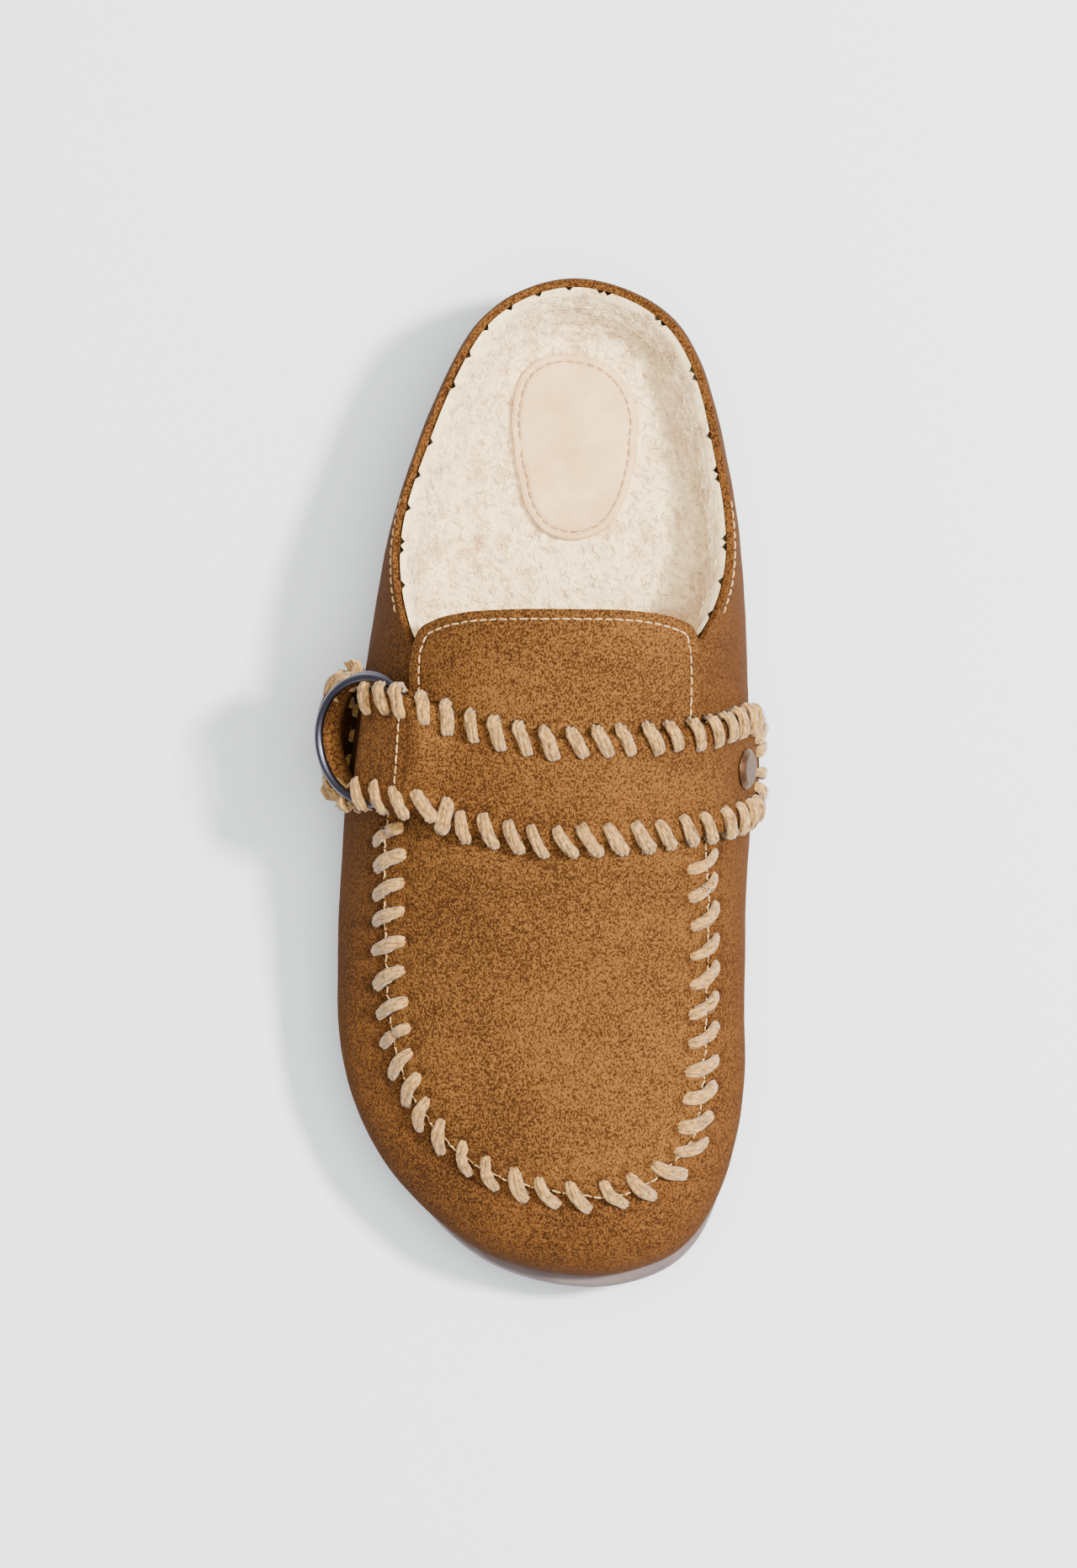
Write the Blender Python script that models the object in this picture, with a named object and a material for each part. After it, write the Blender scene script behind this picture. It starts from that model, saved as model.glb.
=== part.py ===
"""Buckled suede clog with a fleece footbed, right foot: the construction model.

Metres, +Z up. The toe points along -Y, the inner (medial) side of the foot along +X,
and the sole stands on z = 0 with the origin under the middle of its length.
Every piece of the shoe is one closed solid in an object of its own.
"""

import functools
import math
from collections import namedtuple

import bmesh
import bpy
import numpy
from mathutils import Matrix, Vector

# Driving sizes of the shoe
SOLE_LENGTH = 0.2600
BALL_WIDTH = 0.1050
THROAT_HEIGHT = 0.0760
RIM_HEIGHT = 0.0410
HEEL_STACK = 0.0200
TOE_SPRING = 0.0080
ARCH_LIFT = 0.0025

# Walls of the soft pieces
UPPER_WALL = 0.0020
APRON_WALL = 0.0014
STRAP_WALL = 0.0016
INSOLE_FLOOR = 0.0050
INSOLE_LIP_WALL = 0.0048
PATCH_WALL = 0.0012

# Clearances between pieces
SEAT_GAP = 0.0003
OVERLAY_GAP = 0.0005
RING_GAP = 0.0004

# Upper
SIDE_BULGE_HEIGHT = 0.0070
FEATHER_TUCK = 0.0020
CROWN_DROP = 0.0088
CROWN_RIDGE_OFFSET = 0.0040
ROLL_FULLNESS = 2.2
UPPER_TOE_SHARE = 0.988
THROAT_CORNER_SHARE = 0.360
THROAT_BOW_SHARE = 0.020
COLLAR_SHARE = 0.40
THROAT_FULLNESS = 2.6
BULGE_TOE_DROP_SHARE = 0.35
BULGE_TOE_FROM_SHARE = 0.75

# Sole and insole
SOLE_TUCK = 0.0014
SOLE_STEP = 0.0009
TREAD_DEPTH = 0.0018
TREAD_GROOVE = 0.0030
TREAD_EDGE = 0.0090
TOE_TUCK_FROM_SHARE = 0.86
TOE_TUCK_TO_SHARE = 0.97
INSOLE_TUCK = 0.0046
INSOLE_LIP_LEAN = 0.0009
HEEL_LIP_RISE = 0.0110
TOE_LIP_RISE = 0.0020

# Heel patch
PATCH_WIDTH = 0.0310
PATCH_LENGTH = 0.0475
PATCH_CORNER = 0.0135
PATCH_TAPER = 0.0036
PATCH_ACROSS_SHARE = 0.0743
PATCH_SHARE = 0.1685

# Strap, side strap, rings and rivet
STRAP_WIDTH = 0.0285
STRAP_END_ROUND = 0.0110
STRAP_FOLD_WIDTH = 0.0190
STRAP_TIP_ABOVE_BULGE = 0.0006
STRAP_LEAVE_SHARE = -0.190
STRAP_TIP_BLUNT = 0.34
STRAP_COVER_NEAR = 0.0025
STRAP_COVER_FAR = 0.0110
FOLD_RETURN = 0.0015
TAIL_DROP = 0.0205
RING_DIAMETER = 0.0346
RING_WIRE = 0.0024
RING_TILT = math.radians(44.0)
RING_PITCH = math.radians(8.0)
RING_SPLAY = math.radians(10.5)
RING_LIFT = 0.0008
RING_INSET = 0.0062
RING_SHARE = 0.4562
RING_OFF_SKIN = 0.0069
RIVET_DIAMETER = 0.0108
RIVET_HEIGHT = 0.0012
RIVET_FROM_TIP = 0.0155

# Where the middle of the whole width lies before the shoe is centred
WIDTH_MIDDLE = -0.0018

# Mesh steps
LOOP_STEPS = 64
DENSE_STEPS = 256
UPPER_ROWS = 12
SLOPE_STEP = 0.0005

# Plan outline of the upper at its widest, seen from above.
# along: share of SOLE_LENGTH from the heel; lateral and medial: shares of BALL_WIDTH.
Outline = namedtuple("Outline", "along lateral medial")
OUTLINE = [
    Outline(0.010, -0.044, 0.195),
    Outline(0.030, -0.130, 0.284),
    Outline(0.049, -0.176, 0.338),
    Outline(0.089, -0.232, 0.390),
    Outline(0.128, -0.276, 0.419),
    Outline(0.168, -0.313, 0.438),
    Outline(0.207, -0.350, 0.458),
    Outline(0.267, -0.389, 0.479),
    Outline(0.346, -0.423, 0.493),
    Outline(0.425, -0.459, 0.501),
    Outline(0.503, -0.484, 0.504),
    Outline(0.582, -0.499, 0.497),
    Outline(0.681, -0.510, 0.490),
    Outline(0.760, -0.505, 0.490),
    Outline(0.800, -0.484, 0.489),
    Outline(0.839, -0.445, 0.476),
    Outline(0.879, -0.386, 0.455),
    Outline(0.918, -0.300, 0.418),
    Outline(0.948, -0.212, 0.371),
    Outline(0.974, -0.090, 0.285),
]
HEEL_TIP_SHARE = 0.070
TOE_TIP_SHARE = 0.112
TOE_STRETCH_SHARE = 0.850

# Heights along the foot.
# sole_top: share of HEEL_STACK; arch: share of ARCH_LIFT; toe: share of TOE_SPRING;
# crown: share of THROAT_HEIGHT; roll: width of the rolled shoulder, share of BALL_WIDTH;
# lip: share of the rise from TOE_LIP_RISE to HEEL_LIP_RISE.
Section = namedtuple("Section", "along sole_top arch toe crown roll lip")
SECTIONS = [
    Section(0.00, 1.00, 0.0, 0.00, 1.040, 0.44, 1.00),
    Section(0.20, 1.00, 0.0, 0.00, 1.030, 0.44, 1.00),
    Section(0.34, 0.96, 0.0, 0.00, 0.995, 0.44, 0.90),
    Section(0.42, 0.89, 0.7, 0.00, 0.940, 0.44, 0.50),
    Section(0.51, 0.81, 0.7, 0.00, 0.850, 0.44, 0.20),
    Section(0.60, 0.74, 0.0, 0.00, 0.745, 0.43, 0.10),
    Section(0.68, 0.70, 0.0, 0.00, 0.665, 0.42, 0.00),
    Section(0.77, 0.69, 0.0, 0.00, 0.600, 0.38, 0.00),
    Section(0.85, 0.73, 0.0, 0.10, 0.565, 0.33, 0.00),
    Section(0.92, 0.83, 0.0, 0.42, 0.545, 0.28, 0.00),
    Section(1.00, 1.00, 0.0, 1.00, 0.530, 0.24, 0.00),
]

# Collar from the heel to the throat corner: how far it leans in from the outline.
# lean_lateral and lean_medial: shares of BALL_WIDTH; rise: share from rim to throat corner.
Collar = namedtuple("Collar", "along lean_lateral lean_medial rise")
COLLAR = [
    Collar(0.000, 0.0115, 0.0115, 0.00),
    Collar(0.140, 0.0115, 0.0115, 0.00),
    Collar(0.200, 0.0125, 0.0120, 0.04),
    Collar(0.250, 0.0160, 0.0140, 0.17),
    Collar(0.290, 0.0340, 0.0260, 0.40),
    Collar(0.324, 0.0630, 0.0540, 0.70),
    Collar(0.360, 0.1100, 0.1060, 1.00),
]

# Apron edge, seen from above. Shares as in the outline.
Apron = namedtuple("Apron", "along lateral medial")
APRON = [
    Apron(0.350, -0.283, 0.352),
    Apron(0.372, -0.305, 0.366),
    Apron(0.444, -0.312, 0.368),
    Apron(0.500, -0.348, 0.376),
    Apron(0.548, -0.377, 0.384),
    Apron(0.650, -0.380, 0.393),
    Apron(0.744, -0.364, 0.386),
    Apron(0.800, -0.322, 0.379),
    Apron(0.845, -0.250, 0.364),
]
APRON_TOE_SHARE = 0.8225
APRON_SKEW_SHARE = 0.022
APRON_TAB_SHARE = -0.017
APRON_BOW_SHARE = 0.076
APRON_TAB_SQUARE = 4.5
APRON_PEAK_SHARE = 0.20
APRON_TOE_SQUARE_LATERAL = 3.6
APRON_TOE_SQUARE_MEDIAL = 2.4
APRON_SPREAD = math.radians(72.0)
APRON_COLUMNS = 18
APRON_ROWS = 22

# Strap's middle line over the instep, seen from above, from the medial tip to the rings.
StrapLine = namedtuple("StrapLine", "across along")
STRAP_LINE = [
    StrapLine(0.530, 0.4768),
    StrapLine(0.400, 0.4960),
    StrapLine(0.254, 0.5054),
    StrapLine(0.010, 0.5112),
    StrapLine(-0.234, 0.4890),
    StrapLine(-0.356, 0.4690),
    StrapLine(-0.425, 0.4562),
]

# Side of the sole, bottom to top. height: share of the sole's height; step: share of SOLE_STEP.
SideStep = namedtuple("SideStep", "height step")
SOLE_SIDE = [
    SideStep(0.00, 2.8),
    SideStep(0.08, 1.0),
    SideStep(0.20, 0.1),
    SideStep(0.38, 0.0),
    SideStep(0.42, 1.0),
    SideStep(0.50, 1.0),
    SideStep(0.54, 0.0),
    SideStep(0.84, 0.2),
    SideStep(1.00, 1.3),
]

# Foot of the upper, from the feather edge to the widest place.
# tuck: share of FEATHER_TUCK; rise: share of the height up to the widest place.
FeatherRow = namedtuple("FeatherRow", "tuck rise")
FEATHER_ROWS = [
    FeatherRow(1.00, 0.00),
    FeatherRow(0.35, 0.45),
]

# Lip of the footbed, outside to inside. inward: share of INSOLE_LIP_WALL; lift: share of the lip's rise.
LipRow = namedtuple("LipRow", "inward lift")
LIP_ROWS = [
    LipRow(0.0, 0.60),
    LipRow(0.3, 1.00),
    LipRow(0.7, 0.94),
    LipRow(1.0, 0.60),
    LipRow(1.5, 0.12),
    LipRow(2.3, 0.00),
]

# Loose end of the side strap below the rings, all as shares.
# outward and drop: of TAIL_DROP; spread: of the way back to full width; width: of STRAP_WIDTH.
TailRow = namedtuple("TailRow", "outward drop spread width")
TAIL_ROWS = [
    TailRow(0.015, 0.195, 0.35, 1.00),
    TailRow(-0.029, 0.439, 0.75, 1.00),
    TailRow(-0.107, 0.732, 1.00, 1.00),
    TailRow(-0.146, 0.878, 1.00, 0.88),
    TailRow(-0.176, 1.000, 1.00, 0.60),
]

# Columns of a strap, as shares of half its width.
STRAP_COLUMNS = [-1.0, -0.72, -0.38, 0.0, 0.38, 0.72, 1.0]

# Tread bars: the grooves between them, as shares of SOLE_LENGTH from the heel.
TREAD_GROOVES = [0.075, 0.125, 0.175, 0.225, 0.275, 0.615, 0.665, 0.715, 0.765]


def smooth_read(rows, along, column):
    """Read one column of a table at a place between its rows, on a smooth curve."""
    places = [row.along for row in rows]
    values = [getattr(row, column) for row in rows]
    if along <= places[0]:
        return values[0]
    if along >= places[-1]:
        return values[-1]
    k = max(i for i in range(len(rows) - 1) if places[i] <= along)
    slopes = []
    for i in (k, k + 1):
        before = max(i - 1, 0)
        after = min(i + 1, len(rows) - 1)
        slopes.append((values[after] - values[before]) / (places[after] - places[before]))
    span = places[k + 1] - places[k]
    t = (along - places[k]) / span
    lift = t * t * (3.0 - 2.0 * t)
    blend = values[k] * (1.0 - lift) + values[k + 1] * lift
    blend += slopes[0] * span * t * (1.0 - t) ** 2
    blend -= slopes[1] * span * t * t * (1.0 - t)
    return blend


def smoothstep(value, low, high):
    """Rise from 0 at low to 1 at high with level ends."""
    t = min(max((value - low) / (high - low), 0.0), 1.0)
    return t * t * (3.0 - 2.0 * t)


def along_of(y):
    """Share of the sole's length from the heel."""
    return 0.5 - y / SOLE_LENGTH


def y_of(along):
    """Place along Y of a share of the sole's length from the heel."""
    return (0.5 - along) * SOLE_LENGTH


def closed_curve(points, steps):
    """Closed Catmull-Rom curve through the points."""
    curve = []
    count = len(points)
    for k in range(count):
        p0, p1, p2, p3 = (numpy.array(points[(k + j - 1) % count]) for j in range(4))
        for step in range(steps):
            t = step / steps
            curve.append(0.5 * (2.0 * p1 + (p2 - p0) * t + (2.0 * p0 - 5.0 * p1 + 4.0 * p2 - p3) * t * t
                                + (3.0 * p1 - p0 - 3.0 * p2 + p3) * t ** 3))
    return numpy.array(curve)


def respaced(curve, count):
    """The closed curve again, as points at even distances from its first point."""
    ring = numpy.vstack([curve, curve[:1]])
    lengths = numpy.concatenate([[0.0], numpy.cumsum(numpy.linalg.norm(numpy.diff(ring, axis=0), axis=1))])
    places = numpy.arange(count) / count * lengths[-1]
    return numpy.column_stack([numpy.interp(places, lengths, ring[:, axis]) for axis in range(2)])


def outline_loop(toe_reach, count):
    """Plan outline from the heel tip round the lateral side, the toe and the medial side."""
    def reach(along):
        share = max(along - TOE_STRETCH_SHARE, 0.0) / (UPPER_TOE_SHARE - TOE_STRETCH_SHARE)
        return along + share * (toe_reach - UPPER_TOE_SHARE)

    points = [(HEEL_TIP_SHARE * BALL_WIDTH, y_of(0.0))]
    points += [(row.lateral * BALL_WIDTH, y_of(reach(row.along))) for row in OUTLINE]
    points.append((TOE_TIP_SHARE * BALL_WIDTH, y_of(toe_reach)))
    points += [(row.medial * BALL_WIDTH, y_of(reach(row.along))) for row in reversed(OUTLINE)]
    return respaced(closed_curve(points, 16), count)


def inward_normals(loop):
    """Unit vectors that point into the closed loop."""
    ahead = numpy.roll(loop, -1, axis=0) - numpy.roll(loop, 1, axis=0)
    ahead /= numpy.linalg.norm(ahead, axis=1)[:, None]
    return numpy.column_stack([-ahead[:, 1], ahead[:, 0]])


def inset_loop(loop, distances):
    """The loop moved inwards by one distance, or by one for each point."""
    return loop + inward_normals(loop) * numpy.reshape(distances, (-1, 1))


DENSE_OUTLINE = outline_loop(UPPER_TOE_SHARE, DENSE_STEPS)


def outline_distance(x, y):
    """How far inside the outline a plan point lies."""
    start = DENSE_OUTLINE
    side = numpy.roll(DENSE_OUTLINE, -1, axis=0) - start
    to_point = numpy.array([x, y]) - start
    share = numpy.clip((to_point * side).sum(axis=1) / (side * side).sum(axis=1), 0.0, 1.0)
    return float(numpy.linalg.norm(to_point - side * share[:, None], axis=1).min())


def side_at(y, column):
    """Across place of the lateral or medial outline at y."""
    start = DENSE_OUTLINE
    end = numpy.roll(DENSE_OUTLINE, -1, axis=0)
    crossing = (start[:, 1] - y) * (end[:, 1] - y) <= 0.0
    share = (y - start[crossing, 1]) / (end[crossing, 1] - start[crossing, 1] + 1e-12)
    across = start[crossing, 0] + share * (end[crossing, 0] - start[crossing, 0])
    return float(across.min() if column == "lateral" else across.max())


def sole_top(along):
    """Height of the sole's upper face."""
    return smooth_read(SECTIONS, along, "sole_top") * HEEL_STACK


def sole_bottom(along):
    """Height of the sole's tread face: flat at heel and ball, lifted at arch and toe."""
    arch = max(smooth_read(SECTIONS, along, "arch"), 0.0) * ARCH_LIFT
    toe = max(smooth_read(SECTIONS, along, "toe"), 0.0) * TOE_SPRING
    return arch + toe


def bulge_height(along):
    """Height at which the upper is widest."""
    lower = smoothstep(along, BULGE_TOE_FROM_SHARE, 1.0)
    return sole_top(along) + SEAT_GAP + SIDE_BULGE_HEIGHT * (1.0 - BULGE_TOE_DROP_SHARE * lower)


def dome(x, y):
    """Height of the upper's outer face over a plan point inside the outline."""
    along = along_of(y)
    middle = 0.5 * (side_at(y, "lateral") + side_at(y, "medial")) + CROWN_RIDGE_OFFSET
    low = bulge_height(along)
    crown = smooth_read(SECTIONS, along, "crown") * THROAT_HEIGHT
    crown -= CROWN_DROP * ((x - middle) / (0.5 * BALL_WIDTH)) ** 2
    inside = 1.0 - outline_distance(x, y) / (smooth_read(SECTIONS, along, "roll") * BALL_WIDTH)
    inside = min(max(inside, 0.0), 1.0)
    return low + (crown - low) * (1.0 - inside ** ROLL_FULLNESS) ** (1.0 / ROLL_FULLNESS)


def dome_normal(x, y):
    """Outward direction of the upper's face over a plan point."""
    step = SLOPE_STEP
    slope_x = (dome(x + step, y) - dome(x - step, y)) / (2.0 * step)
    slope_y = (dome(x, y + step) - dome(x, y - step)) / (2.0 * step)
    return Vector((-slope_x, -slope_y, 1.0)).normalized()


def skin_point(x, y, offset):
    """A point off the upper's outer face by the offset, along its normal."""
    return Vector((x, y, dome(x, y))) + dome_normal(x, y) * offset


def new_material(name, colour, roughness, metallic=0.0):
    """Plain Principled material of one piece."""
    material = bpy.data.materials.new(name)
    material.use_nodes = True
    shader = material.node_tree.nodes["Principled BSDF"]
    shader.inputs["Base Color"].default_value = (*colour, 1.0)
    shader.inputs["Roughness"].default_value = roughness
    shader.inputs["Metallic"].default_value = metallic
    return material


def finish_object(name, shape, colour, roughness, metallic=0.0):
    """Turn a bmesh into a smooth shaded object with its own material."""
    bmesh.ops.recalc_face_normals(shape, faces=shape.faces)
    mesh = bpy.data.meshes.new(name)
    shape.to_mesh(mesh)
    shape.free()
    mesh.shade_smooth()
    mesh.set_sharp_from_angle(angle=math.radians(40.0))
    item = bpy.data.objects.new(name, mesh)
    item.data.materials.append(new_material(name, colour, roughness, metallic))
    bpy.context.scene.collection.objects.link(item)
    return item


def add_ring(shape, points):
    """Add one closed ring of edges and return its vertices."""
    verts = [shape.verts.new(point) for point in points]
    for k, vert in enumerate(verts):
        shape.edges.new((vert, verts[(k + 1) % len(verts)]))
    return verts


def loft_rings(shape, rings):
    """Join rings of equal length with a belt of quads each."""
    for lower, upper in zip(rings, rings[1:]):
        count = len(lower)
        for k in range(count):
            shape.faces.new((lower[k], lower[(k + 1) % count], upper[(k + 1) % count], upper[k]))


def fill_across(shape, ring):
    """Close a heel-to-toe ring with strips from its lateral to its medial side."""
    count = len(ring)
    half = count // 2
    shape.faces.new((ring[0], ring[1], ring[count - 1]))
    for k in range(1, half - 1):
        shape.faces.new((ring[k], ring[k + 1], ring[count - k - 1], ring[count - k]))
    shape.faces.new((ring[half - 1], ring[half], ring[half + 1]))


def slab(shape, inner, outer):
    """Close two grids of points, one over the other, into one body."""
    grids = [[[shape.verts.new(point) for point in row] for row in grid] for grid in (inner, outer)]
    rows = len(inner)
    columns = len(inner[0])
    for verts in grids:
        for i in range(rows - 1):
            for j in range(columns - 1):
                shape.faces.new((verts[i][j], verts[i][j + 1], verts[i + 1][j + 1], verts[i + 1][j]))
    border = [(0, j) for j in range(columns)]
    border += [(i, columns - 1) for i in range(1, rows)]
    border += [(rows - 1, j) for j in range(columns - 2, -1, -1)]
    border += [(i, 0) for i in range(rows - 2, 0, -1)]
    for k, (i, j) in enumerate(border):
        m, n = border[(k + 1) % len(border)]
        shape.faces.new((grids[0][i][j], grids[0][m][n], grids[1][m][n], grids[1][i][j]))


def sole_loop(inset):
    """Outline of the outsole: tucked under the upper, and reaching past it at the toe."""
    loop = outline_loop(1.0, LOOP_STEPS)
    tucks = [SOLE_TUCK * (1.0 - smoothstep(along_of(y), TOE_TUCK_FROM_SHARE, TOE_TUCK_TO_SHARE)) + inset
             for x, y in loop]
    return inset_loop(loop, tucks)


def build_outsole():
    """Moulded rubber sole with its side rib and tread grooves."""
    shape = bmesh.new()
    rings = []
    for row in SOLE_SIDE:
        points = []
        for x, y in sole_loop(row.step * SOLE_STEP):
            low = sole_bottom(along_of(y))
            high = sole_top(along_of(y))
            points.append((x, y, low + (high - low) * row.height))
        rings.append(add_ring(shape, points))
    loft_rings(shape, rings)
    fill_across(shape, rings[0])
    fill_across(shape, rings[-1])
    outsole = finish_object("outsole", shape, (0.20, 0.16, 0.14), 0.60)

    cutters = bmesh.new()
    for along in TREAD_GROOVES:
        y = y_of(along)
        low = side_at(y, "lateral") + TREAD_EDGE
        high = side_at(y, "medial") - TREAD_EDGE
        place = Matrix.Translation((0.5 * (low + high), y, 0.0))
        scale = Matrix.Diagonal((high - low, TREAD_GROOVE, 2.0 * TREAD_DEPTH, 1.0))
        made = bmesh.ops.create_cube(cutters, size=1.0, matrix=place @ scale)
        uprights = [edge for edge in {e for v in made["verts"] for e in v.link_edges}
                    if abs(edge.verts[0].co.z - edge.verts[1].co.z) > TREAD_DEPTH]
        bmesh.ops.bevel(cutters, geom=uprights, offset=0.45 * TREAD_GROOVE, segments=2, profile=0.5,
                        affect="EDGES", material=-1)
    cutter = finish_object("tread_grooves", cutters, (0.2, 0.2, 0.2), 0.5)
    cutter.hide_render = True
    cutter.display_type = "WIRE"
    cut = outsole.modifiers.new("tread grooves", "BOOLEAN")
    cut.operation = "DIFFERENCE"
    cut.solver = "EXACT"
    cut.object = cutter
    return outsole


def insole_floor(along):
    """Height of the footbed's upper face."""
    return sole_top(along) + SEAT_GAP + INSOLE_FLOOR


def build_insole():
    """Fleece footbed: a dish with a raised lip round the heel."""
    shape = bmesh.new()
    loop = DENSE_OUTLINE[::DENSE_STEPS // LOOP_STEPS]
    lips = []
    for x, y in loop:
        share = max(smooth_read(SECTIONS, along_of(y), "lip"), 0.0)
        lips.append(TOE_LIP_RISE + (HEEL_LIP_RISE - TOE_LIP_RISE) * share)

    def ring(inward, lift):
        """Ring of the dish: inward of its outer side, and raised by a share of the lip."""
        full_lean = lift * INSOLE_LIP_LEAN / (HEEL_LIP_RISE - TOE_LIP_RISE)
        spots = inset_loop(loop, [INSOLE_TUCK + inward - full_lean * (lip - TOE_LIP_RISE) for lip in lips])
        return add_ring(shape, [(x, y, insole_floor(along_of(y)) + lift * lip)
                                for (x, y), lip in zip(spots, lips)])

    base = [(x, y, sole_top(along_of(y)) + SEAT_GAP) for x, y in inset_loop(loop, INSOLE_TUCK)]
    rings = [add_ring(shape, base)]
    rings += [ring(row.inward * INSOLE_LIP_WALL, row.lift) for row in LIP_ROWS]
    loft_rings(shape, rings)
    fill_across(shape, rings[0])
    fill_across(shape, rings[-1])
    return finish_object("insole", shape, (0.86, 0.74, 0.58), 0.95)


def build_heel_patch():
    """Smooth pad on the footbed, with round corners and its toe end a little narrower."""
    shape = bmesh.new()
    base = insole_floor(PATCH_SHARE) + SEAT_GAP
    across = PATCH_ACROSS_SHARE * BALL_WIDTH
    place = Matrix.Translation((across, y_of(PATCH_SHARE), base + 0.5 * PATCH_WALL))
    scale = Matrix.Diagonal((PATCH_WIDTH, PATCH_LENGTH, PATCH_WALL, 1.0))
    bmesh.ops.create_cube(shape, size=1.0, matrix=place @ scale)
    for vert in shape.verts:
        if vert.co.y < y_of(PATCH_SHARE):
            vert.co.x -= math.copysign(PATCH_TAPER, vert.co.x - across)
    uprights = [e for e in shape.edges if abs(e.verts[0].co.z - e.verts[1].co.z) > 0.5 * PATCH_WALL]
    bmesh.ops.bevel(shape, geom=uprights, offset=PATCH_CORNER, segments=6, profile=0.5,
                    affect="EDGES", material=-1)
    top = [e for e in shape.edges if min(v.co.z for v in e.verts) > base + 0.9 * PATCH_WALL]
    bmesh.ops.bevel(shape, geom=top, offset=0.4 * PATCH_WALL, segments=1, profile=0.5,
                    affect="EDGES", material=-1)
    return finish_object("heel_patch", shape, (0.78, 0.60, 0.42), 0.80)


def collar_points():
    """Outer edge of the collar and throat, one point for each point of the outline."""
    dense = DENSE_OUTLINE
    normals = inward_normals(dense)
    half = DENSE_STEPS // 2
    corners = {}
    for side, order in (("lateral", 1), ("medial", -1)):
        places = [along_of(dense[order * k][1]) for k in range(half + 1)]
        corners[side] = float(numpy.interp(THROAT_CORNER_SHARE, places, numpy.arange(half + 1) / half))

    def lean_point(side, order, share):
        k = order * share * half
        low = int(math.floor(k))
        part = k - low
        spot = dense[low % DENSE_STEPS] * (1.0 - part) + dense[(low + 1) % DENSE_STEPS] * part
        normal = normals[low % DENSE_STEPS] * (1.0 - part) + normals[(low + 1) % DENSE_STEPS] * part
        lean = smooth_read(COLLAR, along_of(spot[1]), "lean_" + side) * BALL_WIDTH
        return spot + normal * lean

    corner_spots = [lean_point("lateral", 1, corners["lateral"]), lean_point("medial", -1, corners["medial"])]
    points = []
    for index in range(LOOP_STEPS):
        side, order = ("lateral", 1) if index <= LOOP_STEPS // 2 else ("medial", -1)
        share = min(index, LOOP_STEPS - index) / (LOOP_STEPS // 2)
        if share <= COLLAR_SHARE:
            spot = lean_point(side, order, corners[side] * share / COLLAR_SHARE)
            corner = corner_spots[0] if side == "lateral" else corner_spots[1]
            rise = smooth_read(COLLAR, along_of(spot[1]), "rise")
            height = RIM_HEIGHT + (dome(*corner) - RIM_HEIGHT) * rise
        else:
            part = 0.5 * (share - COLLAR_SHARE) / (1.0 - COLLAR_SHARE)
            part = part if side == "lateral" else 1.0 - part
            spot = corner_spots[0] * (1.0 - part) + corner_spots[1] * part
            bow = THROAT_BOW_SHARE * SOLE_LENGTH * (1.0 - abs(2.0 * part - 1.0) ** THROAT_FULLNESS)
            spot = spot + numpy.array([0.0, bow])
            height = dome(*spot)
        points.append(Vector((spot[0], spot[1], height)))
    return points


def build_upper():
    """Hollow suede shell, from the feather edge at the sole to the collar and throat."""
    shape = bmesh.new()
    widest = DENSE_OUTLINE[::DENSE_STEPS // LOOP_STEPS]
    collar = collar_points()
    rings = []
    for row in FEATHER_ROWS:
        points = []
        for x, y in inset_loop(widest, row.tuck * FEATHER_TUCK):
            low = sole_top(along_of(y)) + SEAT_GAP
            points.append((x, y, low + row.rise * (bulge_height(along_of(y)) - low)))
        rings.append(add_ring(shape, points))
    for row in range(UPPER_ROWS + 1):
        share = 1.0 - math.cos(0.5 * math.pi * row / UPPER_ROWS)
        points = []
        for (x, y), end in zip(widest, collar):
            low = bulge_height(along_of(y))
            across = x + (end.x - x) * share
            ahead = y + (end.y - y) * share
            end_low = bulge_height(along_of(end.y))
            fit = (end.z - end_low) / (dome(end.x, end.y) - end_low)
            here_low = bulge_height(along_of(ahead))
            height = here_low + (dome(across, ahead) - here_low) * (1.0 + (fit - 1.0) * share ** 0.3)
            points.append((across, ahead, low if row == 0 else height))
        rings.append(add_ring(shape, points))
    loft_rings(shape, rings)
    upper = finish_object("upper", shape, (0.28, 0.12, 0.035), 0.92)
    wall = upper.modifiers.new("suede and fleece backing", "SOLIDIFY")
    wall.thickness = UPPER_WALL
    wall.offset = -1.0
    wall.use_even_offset = True
    return upper


def apron_along(along, share, side):
    """Along place of an apron point: rows bow at the throat tab and swing round at the toe."""
    tab = APRON_TAB_SHARE * (1.0 - share) ** 3 * (1.0 - abs(side) ** APRON_TAB_SQUARE)
    if side < APRON_PEAK_SHARE:
        reach = ((APRON_PEAK_SHARE - side) / (1.0 + APRON_PEAK_SHARE)) ** APRON_TOE_SQUARE_LATERAL
    else:
        reach = ((side - APRON_PEAK_SHARE) / (1.0 - APRON_PEAK_SHARE)) ** APRON_TOE_SQUARE_MEDIAL
    return along + tab + share ** 1.5 * (APRON_SKEW_SHARE * side + APRON_BOW_SHARE * (1.0 - reach))


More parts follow.
